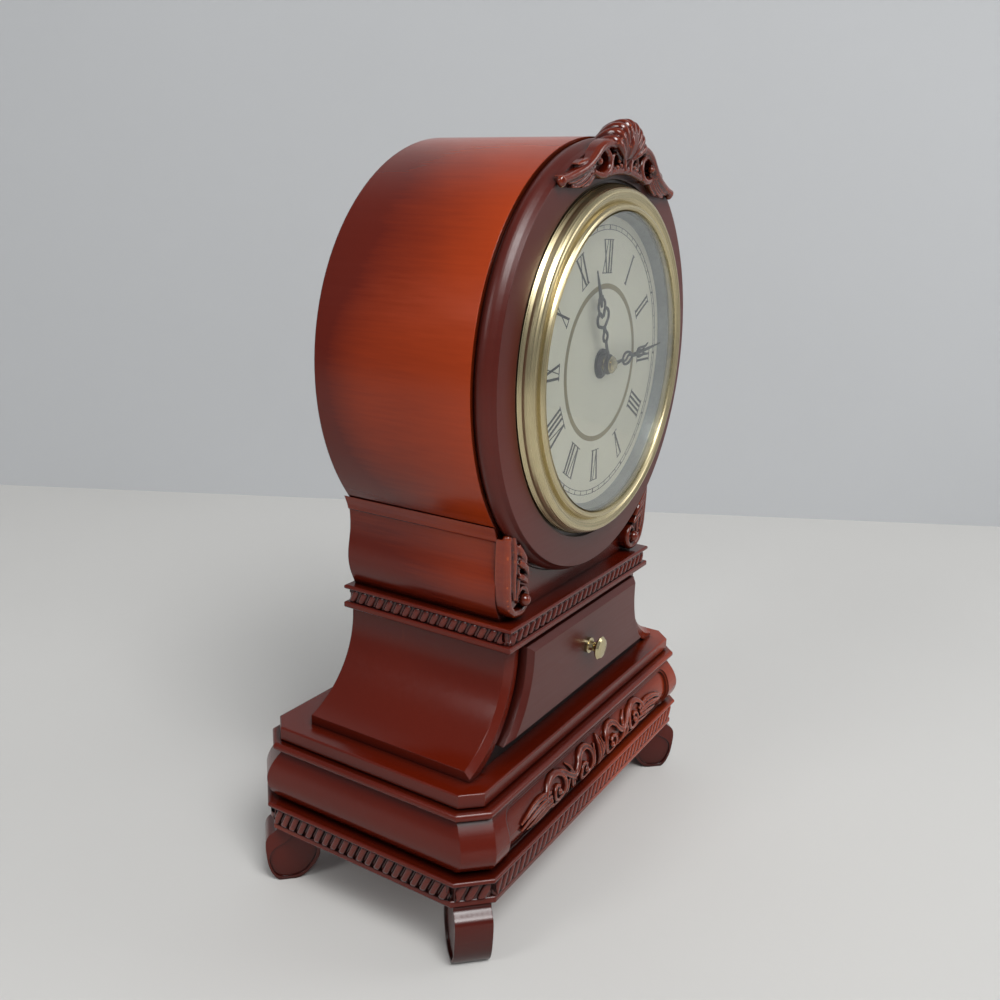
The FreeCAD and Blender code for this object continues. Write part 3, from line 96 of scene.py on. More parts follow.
class ClockSettings(bpy.types.PropertyGroup):
    """Sizes, colours and lights that a maker of the clock may change"""

    # the light stain shows at random in the clouding and, on the drum, also where painted light lifts the
    # stain
    stain_light: colour_setting("Stain, light", "Cherry stain where the lacquer glows", "#A83A0C")
    stain_mid: colour_setting("Stain, middle", "Cherry stain over most of the case", "#5A1404")
    # the dark stain is also the colour of the painted shade in seams, corners and carved hollows
    stain_dark_and_shade: colour_setting("Stain, dark", "Toner in corners, pores and carved recesses", "#120403")
    # colour of the crowns of the carving, partly warm stain and partly painted highlight
    carving_crown_stain_and_highlight: colour_setting("Carving stain", "Warm stain on the crowns of the carving", "#983C0A")
    # colour of the surfaces that face forwards, partly their brown stain and partly painted shade
    front_stain_and_shade: colour_setting("Front stain", "Brown of the ring's face and the drawer", "#4C140B")
    brass_colour: colour_setting("Brass", "Pale lacquered brass of the bezel and knobs", "#CDBF98")
    dial_colour: colour_setting("Dial", "Warm off-white paint of the dial", "#EFEAD8")
    carving_voxel: bpy.props.FloatProperty(
        name="Carving fineness", description="Size of the finest step kept in the carvings",
        unit="LENGTH", default=0.33 * MM, min=0.1 * MM, max=2 * MM)
    rope_pitch: bpy.props.FloatProperty(
        name="Rope pitch", description="Distance from one strand of the rope moulding to the next",
        unit="LENGTH", default=5.25 * MM, min=2 * MM, max=12 * MM)
    even_power: bpy.props.FloatProperty(
        name="Even light", description="Strength of the broad light over clock and floor",
        default=0.9, min=0, max=10)
    key_power: bpy.props.FloatProperty(
        name="Key light", description="Power of the large soft light",
        unit="POWER", default=11, min=0, max=200)
    fill_power: bpy.props.FloatProperty(
        name="Fill light", description="Power of each of the two lights that open the shadows",
        unit="POWER", default=4, min=0, max=200)


# Materials

def add_node(tree, kind, inputs=None, stops=None, **settings):
    """Add one shader node with its settings, its colour stops and its values or links."""
    made = tree.nodes.new(kind)
    for name, value in settings.items():
        setattr(made, name, value)
    if stops:
        while len(made.color_ramp.elements) < len(stops):
            made.color_ramp.elements.new(1.0)
        for element, (place, shade) in zip(made.color_ramp.elements, stops):
            element.position = place
            element.color = shade
    for name, value in (inputs or {}).items():
        if isinstance(value, bpy.types.NodeSocket):
            tree.links.new(value, made.inputs[name])
        else:
            made.inputs[name].default_value = value
    return made


def start_material(name):
    """Make a material with an empty tree and an output, and give the tree and output."""
    material = bpy.data.materials.new(name)
    material.use_nodes = True
    tree = material.node_tree
    tree.nodes.clear()
    return material, tree, add_node(tree, "ShaderNodeOutputMaterial")


def lacquered_cherry(name, light, middle, dark, grain, glaze_and_shade=0.9, reach=3.5, gloss=0.17, shine=0.36,
                     crown=None, painted_light=None):
    """Cherry-stained hardwood under sprayed lacquer: faint grain, cloudy toner, and corners darkened partly
    by toner and partly by painted shade.
    """
    # grain gives the length of a grain line along x, y and z in millimetres: long lines run with the board
    material, tree, out = start_material(name)
    place = add_node(tree, "ShaderNodeTexCoord").outputs["Object"]
    stretch = [1 / (length * MM) for length in grain]
    fine_map = add_node(tree, "ShaderNodeMapping", {0: place, 3: stretch})
    fine = add_node(tree, "ShaderNodeTexNoise", {
        "Vector": fine_map.outputs[0], "Scale": 1.0, "Detail": 4.0, "Roughness": 0.6})
    cloud = add_node(tree, "ShaderNodeTexNoise", {
        "Vector": place, "Scale": 1 / (CLOUD_SIZE * MM), "Detail": 1.0, "Roughness": 0.5})
    mixed = add_node(tree, "ShaderNodeMix", {0: 0.1, 2: cloud.outputs[0], 3: fine.outputs[0]})
    amount = mixed.outputs[0]
    if painted_light:
        # painted light and shade: the stain is painted lighter towards the front and the top and darker
        # behind and below
        along = add_node(tree, "ShaderNodeVectorMath", {0: place, 1: PAINTED_LIGHT_WAY}, operation="DOT_PRODUCT")
        painted_shading_tones = add_node(tree, "ShaderNodeMapRange", {
            0: along.outputs["Value"], 1: PAINTED_LIGHT_START * MM, 2: PAINTED_LIGHT_END * MM, 3: -painted_light, 4: painted_light})
        added = add_node(tree, "ShaderNodeMath", {0: amount, 1: painted_shading_tones.outputs[0]}, operation="ADD")
        amount = added.outputs[0]
    deep = tuple((3 * one + other) / 4 for one, other in zip(middle, dark))
    stain = add_node(tree, "ShaderNodeValToRGB", {0: amount},
                     stops=[(0.24, deep), (0.5, middle), (0.8, light)])
    tone = stain.outputs[0]
    rounded = None
    if crown:
        # the crowns of the carving are painted lighter, partly the warm stain where wiping clears the dark
        # coat from them and partly painted highlight
        edge = add_node(tree, "ShaderNodeNewGeometry").outputs["Pointiness"]
        crowns_rubbed_and_lit = add_node(tree, "ShaderNodeMapRange", {0: edge, 1: 0.5, 2: 0.57, 3: 0.0, 4: 0.8})
        warmed = add_node(tree, "ShaderNodeMix", {0: crowns_rubbed_and_lit.outputs[0], 6: tone, 7: crown}, data_type="RGBA")
        tone = warmed.outputs[2]
    else:
        # sanded edges are broken by about half a millimetre and catch the light
        rounded = add_node(tree, "ShaderNodeBevel", {"Radius": BROKEN_EDGE * MM}, samples=4).outputs[0]
    # darker in the seams, corners and carved hollows, partly the dark toner that stays there and partly
    # painted shade; the longer reach paints shade under ledges and in deep corners
    seam = add_node(tree, "ShaderNodeAmbientOcclusion", {"Distance": reach * MM}, samples=4)
    near = add_node(tree, "ShaderNodeMapRange", {0: seam.outputs["AO"], 1: 0.45, 2: 0.95, 3: glaze_and_shade, 4: 0.0})
    painted_far_shade = add_node(tree, "ShaderNodeAmbientOcclusion", {"Distance": SHELTER_REACH * MM}, samples=2)
    far = add_node(tree, "ShaderNodeMapRange", {0: painted_far_shade.outputs["AO"], 1: 0.4, 2: 0.98, 3: 0.6, 4: 0.0})
    kept = add_node(tree, "ShaderNodeMath", {0: near.outputs[0], 1: far.outputs[0]}, operation="MAXIMUM")
    colour = add_node(tree, "ShaderNodeMix", {0: kept.outputs[0], 6: tone, 7: dark}, data_type="RGBA")
    rough = add_node(tree, "ShaderNodeMapRange", {
        0: fine.outputs[0], 1: 0.3, 2: 0.7, 3: gloss, 4: gloss + 0.08})
    # orange peel of sprayed lacquer, a few hundredths of a millimetre high
    peel = add_node(tree, "ShaderNodeTexNoise", {
        "Vector": place, "Scale": 1 / (PEEL_SIZE * MM), "Detail": 1.0})
    height = add_node(tree, "ShaderNodeMix", {0: 0.3, 2: peel.outputs[0], 3: fine.outputs[0]})
    bump = add_node(tree, "ShaderNodeBump", {
        "Strength": 0.2, "Distance": PEEL_HEIGHT * MM, "Height": height.outputs[0]})
    if rounded:
        tree.links.new(rounded, bump.inputs["Normal"])
    shader = add_node(tree, "ShaderNodeBsdfPrincipled", {
        "Base Color": colour.outputs[2], "Roughness": rough.outputs[0], "Normal": bump.outputs[0],
        "IOR": 1.5, "Specular IOR Level": shine})
    tree.links.new(shader.outputs[0], out.inputs[0])
    return material


def spun_metal(name, shade, shadow, roughness, ring=0.35):
    """Metal turned on a lathe and lacquered: faint circular tool lines round the clock's axis."""
    # ring is the distance between two tool lines in millimetres, a little coarser than real so that they show
    material, tree, out = start_material(name)
    place = add_node(tree, "ShaderNodeTexCoord").outputs["Object"]
    centred = add_node(tree, "ShaderNodeMapping", {0: place, 1: (0, 0, -AXIS_Z * MM), 3: (1, 0, 1)})
    radius = add_node(tree, "ShaderNodeVectorMath", {0: centred.outputs[0]}, operation="LENGTH")
    lines = add_node(tree, "ShaderNodeTexNoise", {
        "W": radius.outputs["Value"], "Scale": 1 / (ring * MM), "Detail": 2.0}, noise_dimensions="1D")
    cloud = add_node(tree, "ShaderNodeTexNoise", {"Vector": place, "Scale": 1 / (11 * MM), "Detail": 2.0})
    tone = add_node(tree, "ShaderNodeMix", {0: cloud.outputs[0], 6: shadow, 7: shade}, data_type="RGBA")
    rough = add_node(tree, "ShaderNodeMapRange", {
        0: lines.outputs[0], 1: 0.3, 2: 0.7, 3: roughness - 0.05, 4: roughness + 0.07})
    bump = add_node(tree, "ShaderNodeBump", {
        "Strength": 0.12, "Distance": 0.02 * MM, "Height": lines.outputs[0]})
    shader = add_node(tree, "ShaderNodeBsdfPrincipled", {
        "Base Color": tone.outputs[2], "Metallic": 1.0, "Roughness": rough.outputs[0],
        "Normal": bump.outputs[0]})
    tree.links.new(shader.outputs[0], out.inputs[0])
    return material


def grained_coat(name, shade, shadow, grit, roughness, metallic=0.0, depth=0.02):
    """Paint, print, moulded plastic or plating: one tone with fine grit and slow clouding."""
    # grit is the size and depth the height of the fine grain, in millimetres
    material, tree, out = start_material(name)
    place = add_node(tree, "ShaderNodeTexCoord").outputs["Object"]
    grain = add_node(tree, "ShaderNodeTexNoise", {"Vector": place, "Scale": 1 / (grit * MM), "Detail": 3.0})
    cloud = add_node(tree, "ShaderNodeTexNoise", {"Vector": place, "Scale": 1 / (22 * MM), "Detail": 2.0})
    both = add_node(tree, "ShaderNodeMix", {0: 0.5, 2: grain.outputs[0], 3: cloud.outputs[0]})
    tone = add_node(tree, "ShaderNodeValToRGB", {0: both.outputs[0]}, stops=[(0.36, shadow), (0.6, shade)])
    rough = add_node(tree, "ShaderNodeMapRange", {
        0: grain.outputs[0], 1: 0.3, 2: 0.7, 3: roughness - 0.04, 4: roughness + 0.06})
    bump = add_node(tree, "ShaderNodeBump", {
        "Strength": 0.3, "Distance": depth * MM, "Height": grain.outputs[0]})
    shader = add_node(tree, "ShaderNodeBsdfPrincipled", {
        "Base Color": tone.outputs[0], "Metallic": metallic, "Roughness": rough.outputs[0],
        "Normal": bump.outputs[0]})
    tree.links.new(shader.outputs[0], out.inputs[0])
    return material


# Coats by name: light tone, dark tone, grit, roughness, share of metal and height of the grain

COATS = {
    # flat brown paint, in which the fibres of the board just show
    "painted_fibre_board": ("#33211C", "#241713", 0.8, 0.58, 0.0, 0.04),
    # black plastic with the dull texture of its mould
    "moulded_black_abs": ("#242426", "#19191A", 0.4, 0.48, 0.0, 0.03),
    # bright grey metal, slightly cloudy
    "zinc_plated_steel": ("#B9BABB", "#9A9C9E", 0.7, 0.3, 1.0, 0.02),
    # smooth dark sleeve round the cells
    "printed_cell_jacket": ("#34363C", "#26282D", 3.0, 0.3, 0.0, 0.02),
    # pale bare wood, dry to the eye
    "plain_sanded_plywood": ("#C39A68", "#A97E4E", 1.2, 0.6, 0.0, 0.05),
    # satin black of the hands and the nut
    "blacked_steel": ("#121111", "#0A0A0A", 0.5, 0.42, 0.0, 0.02),
    # dull gold ring with a little glint
    "printed_gold_ink": ("#9A8B5E", "#857750", 0.6, 0.38, 0.35, 0.02),
    # black numerals and marks, dry and even
    "printed_black_ink": ("#22211E", "#171614", 0.6, 0.5, 0.0, 0.02),
    # soft grey ring that picks up the dial beside it
    "satin_grey_reflector": ("#9EA1A0", "#8B8E8D", 1.6, 0.36, 0.3, 0.02),
}


def coat(name):
    """One of the listed coats as a material."""
    light, shadow, *rest = COATS[name]
    return grained_coat(name, linear(light), linear(shadow), *rest)


def clear_glass(name):
    """Thin flat float glass, with a trace of green and a hair of unevenness in its polish."""
    material, tree, out = start_material(name)
    place = add_node(tree, "ShaderNodeTexCoord").outputs["Object"]
    smear = add_node(tree, "ShaderNodeTexNoise", {"Vector": place, "Scale": 1 / (18 * MM), "Detail": 2.0})
    rough = add_node(tree, "ShaderNodeMapRange", {0: smear.outputs[0], 1: 0.3, 2: 0.7, 3: 0.0, 4: 0.02})
    shader = add_node(tree, "ShaderNodeBsdfPrincipled", {
        "Base Color": linear("#F7FAF8"), "Roughness": rough.outputs[0], "IOR": 1.5,
        "Transmission Weight": 1.0})
    tree.links.new(shader.outputs[0], out.inputs[0])
    return material


def finish(material, *names):
    """Give the named solids of the case one material."""
    for name in names:
        mesh = nodes[name].data
        mesh.materials.clear()
        mesh.materials.append(material)


def settle(piece, name, material, body, slot, *replaced):
    """Name a finished piece, give it its material and hang it on its body."""
    piece.name = name
    piece.data.materials.clear()
    piece.data.materials.append(material)
    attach(piece, body)
    if replaced:
        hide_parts(*replaced)
    return piece


# Modelling helpers

def clear_selection():
    """Leave object mode ready for a new primitive."""
    if bpy.context.object and bpy.context.object.mode != "OBJECT":
        bpy.ops.object.mode_set(mode="OBJECT")
    bpy.ops.object.select_all(action="DESELECT")


def pick(pieces):
    """Select these pieces, the first of them active."""
    clear_selection()
    for piece in pieces:
        piece.select_set(True)
    bpy.context.view_layer.objects.active = pieces[0]
    return pieces[0]


def join(pieces):
    """Join meshes into one."""
    first = pick(pieces)
    if len(pieces) > 1:
        bpy.ops.object.join()
    return first


def use_modifier(piece, kind, **settings):
    """Add a modifier with its settings and apply it."""
    pick([piece])
    modifier = piece.modifiers.new(kind.lower(), kind)
    for name, value in settings.items():
        setattr(modifier, name, value)
    bpy.ops.object.modifier_apply(modifier=modifier.name)
    return piece


def trim(piece, place, normal):
    """Cut a closed mesh at a plane, close the cut and keep the side that the normal points away from."""
    pick([piece])
    bpy.ops.object.mode_set(mode="EDIT")
    bpy.ops.mesh.select_all(action="SELECT")
    bpy.ops.mesh.bisect(plane_co=place, plane_no=normal, use_fill=True, clear_outer=True)
    bpy.ops.object.mode_set(mode="OBJECT")
    return piece


# Outlines of carved bands, (across, high), for a half width of one millimetre

OUTLINES = {
    "round": ((-1, -0.3), (-1, 0.1), (-0.84, 0.55), (-0.5, 0.88), (0, 1), (0.5, 0.88), (0.84, 0.55),
              (1, 0.1), (1, -0.3)),
    "fluted": ((-1, -0.3), (-1, 0.35), (-0.8, 0.82), (-0.52, 0.95), (-0.2, 0.5), (0, 0.38), (0.2, 0.5),
               (0.52, 0.95), (0.8, 0.82), (1, 0.35), (1, -0.3)),
    "flat": ((-1, -0.3), (-1, 0.1), (-0.8, 0.25), (0.8, 0.25), (1, 0.1), (1, -0.3)),
}


def section(name):
    """The closed outline that a carved band is drawn along."""
    outline = bpy.data.curves.new(name, "CURVE")
    outline.dimensions = "2D"
    spline = outline.splines.new("POLY")
    points = OUTLINES[name]
    spline.points.add(len(points) - 1)
    for point, (across, high) in zip(spline.points, points):
        point.co = (across * MM, high * MM, 0, 1)
    spline.use_cyclic_u = True
    made = bpy.data.objects.new(name, outline)
    bpy.context.scene.collection.objects.link(made)
    return made


def band(places, outline, lift, depth):
    """A carved band through (across, up, half width) places; lift raises its shoulder from the seat."""
    clear_selection()
    bpy.ops.curve.primitive_bezier_curve_add()
    curve = bpy.context.object
    curve.data.dimensions = "2D"
    spline = curve.data.splines[0]
    spline.bezier_points.add(len(places) - 2)
    for point, (across, up, half) in zip(spline.bezier_points, places):
        point.co = (across * MM, up * MM, 0)
        point.radius = half
        point.handle_left_type = "AUTO"
        point.handle_right_type = "AUTO"
    curve.data.bevel_mode = "OBJECT"
    curve.data.bevel_object = outline
    curve.data.use_fill_caps = True
    curve.data.resolution_u = 8
    bpy.ops.object.convert(target="MESH")
    made = bpy.context.object
    # the foot of the outline goes down to the full depth, and the rest of it is lifted
    for vertex in made.data.vertices:
        high = vertex.co.z
        vertex.co.z = -depth * MM if high < -0.01 * MM else high + lift * MM
    return made


def stand_up(piece, seat):
    """Turn a carving that was drawn flat to face forwards, with its seat in the plane y = seat."""
    piece.data.transform(Matrix(((1, 0, 0, 0), (0, 0, -1, seat * MM), (0, 1, 0, 0), (0, 0, 0, 1))))
    return piece


def carve(strokes, seat, depth=1.0):
    """Draw the (outline, lift, places) strokes of a carving and stand them up on the plane y = seat."""
    outlines = {kind: section(kind) for kind in sorted({kind for kind, lift, places in strokes})}
    bands = [band(places, outlines[kind], lift, depth) for kind, lift, places in strokes]
    carving = stand_up(join(bands), seat)
    for outline in outlines.values():
        bpy.data.objects.remove(outline)
    return carving


def tube(places):
    """A round tapering member through (x, y, z, radius) places."""
    clear_selection()
    bpy.ops.curve.primitive_bezier_curve_add()
    curve = bpy.context.object
    curve.data.dimensions = "3D"
    spline = curve.data.splines[0]
    spline.bezier_points.add(len(places) - 2)
    for point, (x, y, z, radius) in zip(spline.bezier_points, places):
        point.co = (x * MM, y * MM, z * MM)
        point.radius = radius
        point.handle_left_type = "AUTO"
        point.handle_right_type = "AUTO"
    curve.data.bevel_depth = MM
    curve.data.bevel_resolution = 3
    curve.data.use_fill_caps = True
    curve.data.resolution_u = 8
    bpy.ops.object.convert(target="MESH")
    return bpy.context.object


def ball(x, y, z, radius):
    """A carved bead."""
    clear_selection()
    bpy.ops.mesh.primitive_uv_sphere_add(segments=20, ring_count=12, radius=radius * MM,
                                         location=(x * MM, y * MM, z * MM))
    bpy.ops.object.transform_apply(location=True, rotation=True, scale=True)
    return bpy.context.object


def melt(piece, voxel, rounds=2):
    """Grow overlapping bands into one closed carved body and soften its edges as sanding does."""
    use_modifier(piece, "REMESH", mode="VOXEL", voxel_size=voxel, use_smooth_shade=True)
    use_modifier(piece, "SMOOTH", factor=0.5, iterations=rounds)
    return piece


def mirror(piece):
    """Add the other half of a carving across the middle plane of the clock."""
    return use_modifier(piece, "MIRROR", use_mirror_merge=False)


# Crest: a fluted shell over two leaf scrolls. A stroke has its outline, the lift of its shoulder from the
# seat, and its (x, z, half width) places, in millimetres and for the right half. Beads have (x, z, radius).

CREST_BANDS = (
    ("round", 3.6, ((2.5, 341.8, 1.5), (3.6, 346, 1.5), (7.5, 350, 1.6), (13.5, 351.9, 1.8),
                    (20.5, 351.8, 2.0), (26.5, 349.4, 2.1), (31.5, 345.4, 2.1), (37.5, 341.4, 1.9),
                    (45, 338.4, 1.6), (52, 336.2, 1.5), (57, 334.9, 1.8))),
    ("round", 3.2, ((28.4, 344.4, 0.9), (27.8, 347.8, 1.3), (23.5, 349.6, 1.4), (19, 348.3, 1.5),
                    (16.4, 345, 1.7), (17.6, 341.2, 1.8), (21.4, 339.2, 1.7), (26, 339, 1.4),
                    (30, 340, 1.0))),
    ("round", 2.6, ((6.8, 343.4, 0.8), (6.7, 346.6, 1.0), (9.2, 348.8, 1.0), (12.2, 347.9, 1.1),
                    (13.3, 345, 1.1), (12.2, 342.6, 1.0))),
    ("round", 2.8, ((0, 342, 1.7), (6, 341.8, 1.7), (12, 341, 1.7), (17, 340, 1.6))),
    ("fluted", 2.8, ((29.2, 346.4, 0.84), (33.5, 342.2, 1.26), (39, 338.6, 1.43), (45.5, 335.8, 1.26),
                     (51, 334.4, 0.67))),
    ("fluted", 2.5, ((28.2, 343.6, 0.84), (32, 339.8, 1.26), (37, 336.2, 1.43), (42.5, 333.9, 1.18),
                     (47.5, 333, 0.59))),
    ("fluted", 2.2, ((27, 341, 0.76), (30, 337.9, 1.18), (34, 335.2, 1.26), (38.5, 333.4, 0.59))),
    ("round", 3.0, ((36.5, 343.6, 1.4), (40.5, 342.6, 1.3), (44, 341.8, 0.5))),
)
CREST_BEADS = (
    (3.2, 343.9, 1.3), (6.9, 343.7, 1.2), (10.2, 342.9, 1.1), (27.6, 344.2, 1.7), (8.6, 345.4, 0.9),
)
CREST_BEAD_LIFT = 3.9
CREST_TIP = (56, -56.0, 334.6, 2.5)
CREST_HALF_WIDTH = 58
CREST_GAIN = 1.04
CREST_FALL = 0.3

# Petals of the shell: (share of the reach, y, drop, radius), first up the front and then over the ring

FAN_ROOT = 344.5
FAN_REACH = 17.2
FAN_PETALS = 9
FAN_HALF_ANGLE = 58.0
FAN_SIDE_LOSS = 0.25
FAN_FRONT = (
    (0.06, -56.6, 0.0, 0.7), (0.35, -58.2, 0.0, 1.15), (0.68, -59.0, 0.0, 1.9), (0.94, -58.0, 0.0, 2.35),
    (1.0, -54.6, -0.3, 2.35),
)
FAN_BACK = ((0.98, -50.5, -2.0, 2.2), (0.94, -46.6, -4.6, 1.9), (0.9, -44.4, -6.4, 1.5))
FAN_CORE = (
    (0, -54.5, 346, 3.0), (0, -54.8, 351, 6.5), (0, -53.5, 355, 8.0), (0, -50.0, 354, 8.0),
    (0, -47.5, 351, 6.0),
)


def fan_petals():
    """The shell's petals, round lobes in front that run back over the ring, and the core that bears them."""
    made = []
    for index in range(FAN_PETALS):
        angle = math.radians(FAN_HALF_ANGLE * (2 * index / (FAN_PETALS - 1) - 1))
        sine = math.sin(angle)
        cosine = math.cos(angle)
        far = 1 - FAN_SIDE_LOSS * abs(sine)
        back = tuple((reach, y, drop * far, radius) for reach, y, drop, radius in FAN_BACK)
        made.append(tube([
            (FAN_REACH * reach * sine, y, FAN_ROOT + FAN_REACH * reach * cosine + drop, radius)
            for reach, y, drop, radius in FAN_FRONT + back
        ]))
    return made + [tube(FAN_CORE)]


class CLOCK_OT_crest(bpy.types.Operator):
    """Carve the crest: shell, scrolls, leaves and the beads between them"""

    bl_idname = "mantel_clock.crest"
    bl_label = "Crest"

    def execute(self, context):
        half = carve(CREST_BANDS, RING_FRONT)
        beads = [ball(x, RING_FRONT - CREST_BEAD_LIFT, z, radius) for x, z, radius in CREST_BEADS]
        half = mirror(join([half] + beads + [ball(*CREST_TIP)]))
        # the relief is highest in the middle and sinks towards the tips of the leaves
        for vertex in half.data.vertices:
            spread = min(abs(vertex.co.x) / (CREST_HALF_WIDTH * MM), 1)
            height = RING_FRONT * MM - vertex.co.y
            if height > 0:
                vertex.co.y = RING_FRONT * MM - height * (CREST_GAIN - CREST_FALL * spread * spread)
        whole = melt(join([half] + fan_petals()), context.scene.mantel_clock.carving_voxel)
        settle(whole, "crest_scrolls", bpy.data.materials["carved_cherry"], "case", "wood_carved",
               "crest_carving")
        return {"FINISHED"}


# Scroll of the base, its right half, with strokes and beads as in the crest

SCROLL_BANDS = (
    ("fluted", 1.1, ((51, 60.4, 0.69), (59, 61.9, 1.29), (67, 61.6, 1.38), (74, 60, 1.12),
                     (79.5, 58.2, 0.43))),
    ("fluted", 1.3, ((51, 58.2, 0.77), (59, 58.7, 1.38), (68, 58, 1.46), (75.5, 56.6, 0.95),
                     (80, 55.4, 0.43))),
    ("fluted", 1.1, ((50, 55.6, 0.77), (58, 55.4, 1.29), (66.5, 54.4, 1.29), (74, 52.8, 0.52))),
    ("fluted", 0.9, ((48.5, 53.2, 0.69), (55.5, 52.2, 1.12), (62.5, 51.3, 1.12), (69, 50.6, 0.43))),
    ("round", 1.3, ((57, 57.4, 0.77), (55.4, 61.4, 1.2), (51.6, 65, 1.46), (46.5, 66.4, 1.55),
                    (40.8, 65, 1.46), (37.4, 61, 1.29), (37.8, 56, 1.2), (41.6, 53, 1.12),
                    (46.2, 53.9, 1.03), (48, 57.6, 0.95), (45.6, 60.6, 0.86), (42.6, 59.8, 0.77))),
    ("fluted", 1.4, ((45, 66.2, 0.86), (38.4, 64.8, 1.29), (33, 60.8, 1.46), (28, 58.6, 1.55),
                     (23.8, 61, 1.55), (20.6, 64.8, 1.63), (15.8, 66.6, 1.63), (10.8, 65.2, 1.46),
                     (8, 60.6, 1.38), (8.6, 55, 1.29), (12.2, 51.4, 1.2), (17, 51, 1.12),
                     (20.4, 53.9, 1.03), (19.8, 57.9, 0.95), (16.6, 59.3, 0.86), (14, 57.5, 0.77))),
    ("fluted", 1.0, ((30.5, 58.2, 1.29), (29, 54, 1.63), (26, 50.8, 1.2), (22.6, 49, 0.43))),
    ("round", 1.0, ((33.5, 58.6, 1.03), (35, 54.6, 1.2), (33.8, 51.2, 0.95), (30.6, 49.2, 0.43))),
    ("round", 1.0, ((28.6, 59.6, 0.86), (30.2, 63.2, 1.03), (33.6, 66.4, 0.43))),
    ("fluted", 1.0, ((50.5, 52.8, 1.03), (46, 50.6, 1.2), (41, 49.6, 0.95), (36.6, 50.4, 0.43))),
    ("fluted", 1.4, ((0, 48.9, 0.6), (0, 53, 1.81), (0, 58, 2.41), (0, 63, 1.72), (0, 67.2, 0.43))),
    ("round", 0.9, ((2.6, 50, 0.52), (4.9, 54, 1.03), (5.3, 59, 1.03), (3.9, 64, 0.43))),
    ("round", 0.8, ((0, 49.7, 0.77), (6, 49.6, 0.86), (12, 50.4, 0.77))),
)
SCROLL_BEADS = ((44, 57.4, 1.7), (15.2, 55.4, 1.6), (52.6, 56.6, 1.2))
SCROLL_BEAD_LIFT = 1.5
SCROLL_SINK = 0.45
SCROLL_RELIEF_SHARE = 0.85
CLEAR_OF_PANEL = -120


class CLOCK_OT_base_scroll(bpy.types.Operator):
    """Carve the long foliate scroll and lay it on the bulged front panel of the base"""

    bl_idname = "mantel_clock.base_scroll"
    bl_label = "Base scroll"

    def execute(self, context):
        half = carve(SCROLL_BANDS, 0)
        beads = [ball(x, -SCROLL_BEAD_LIFT, z, radius) for x, z, radius in SCROLL_BEADS]
        whole = melt(mirror(join([half] + beads)), context.scene.mantel_clock.carving_voxel, 1)
        trim(whole, (0, SCROLL_SINK * MM, 0), (0, 1, 0))
        # each point is laid on the bulged panel behind it
        panel = nodes["base_box"]
        for vertex in whole.data.vertices:
            origin = Vector((vertex.co.x, CLEAR_OF_PANEL * MM, vertex.co.z))
            hit, place = panel.ray_cast(origin, Vector((0, 1, 0)))[:2]
            if not hit:
                raise RuntimeError("the scroll reaches past the front panel of the base")
            vertex.co.y = vertex.co.y * SCROLL_RELIEF_SHARE + place.y
        settle(whole, "base_scrolls", bpy.data.materials["carved_cherry"], "case", "wood_carved",
               "base_carving")
        return {"FINISHED"}


# Brackets of the cradle, the right one, with strokes as in the crest and beads of (x, lift, z, radius)

BRACKET_BANDS = (
    ("flat", 3.6, ((68, 187, 3.4), (68.5, 178, 5.0), (67.5, 168, 5.4), (66.5, 159, 4.8),
                   (64.5, 154, 3.5))),
    ("round", 4.2, ((73.2, 187.6, 1.8), (73, 178, 2.2), (72.4, 168, 2.3), (71.4, 159, 2.3),
                    (68.2, 153, 2.3), (62.8, 150.5, 2.1), (57.4, 151.4, 1.9), (54.8, 155.6, 1.7),
                    (56.3, 160.2, 1.5), (60.2, 161.4, 1.2), (62.6, 158.8, 1.0))),
    ("round", 5.4, ((70.6, 188.6, 1.5), (69.2, 182, 1.7), (68.9, 174, 1.6), (68.6, 166, 1.5),
                    (67.2, 158.5, 1.1))),
    ("round", 6.8, ((68.6, 184.5, 1.3), (66, 181, 1.9), (63, 177.4, 1.8), (61, 173.4, 0.9))),
    ("round", 6.8, ((67, 176.5, 1.3), (64, 174.6, 1.9), (60.6, 171.8, 1.7), (58.4, 168.4, 0.9))),
    ("round", 6.4, ((66, 169.8, 1.2), (63.4, 168.4, 1.7), (60.4, 166.6, 1.5), (57.8, 164.2, 0.8))),
    ("round", 5.2, ((66.4, 178, 1.1), (65.2, 171, 1.3), (64.6, 164.6, 1.3), (65.2, 157.4, 1.0))),
)
BRACKET_BEADS = ((73, 4.2, 187.8, 2.1), (69.9, 5.2, 188.8, 1.7), (59.2, 6.2, 156.4, 3.0))
BRACKET_SINK = 0.2


class CLOCK_OT_brackets(bpy.types.Operator):
    """Carve the two scroll brackets on the front corners of the cradle"""

    bl_idname = "mantel_clock.brackets"
    bl_label = "Brackets"

    def execute(self, context):
        voxel = context.scene.mantel_clock.carving_voxel
        for side, name in ((1, "right"), (-1, "left")):
            strokes = carve(BRACKET_BANDS, CRADLE_FRONT)
            beads = [ball(x, CRADLE_FRONT - lift, z, radius) for x, lift, z, radius in BRACKET_BEADS]
            whole = join([strokes] + beads)
            if side < 0:
                whole.data.transform(Matrix.Scale(-1, 4, Vector((1, 0, 0))))
                whole.data.flip_normals()
            melt(whole, voxel)
            trim(whole, (0, (CRADLE_FRONT + BRACKET_SINK) * MM, 0), (0, 1, 0))
            settle(whole, "bracket_scroll_" + name, bpy.data.materials["carved_cherry"], "case",
                   "wood_carved", "bracket_" + name)
        return {"FINISHED"}


# Rope mouldings. A run has its length, the x and y of its start, its turn about z and its left and right
# mitres. A rope has its runs, and the level, height and depth of the moulding, in millimetres and degrees.

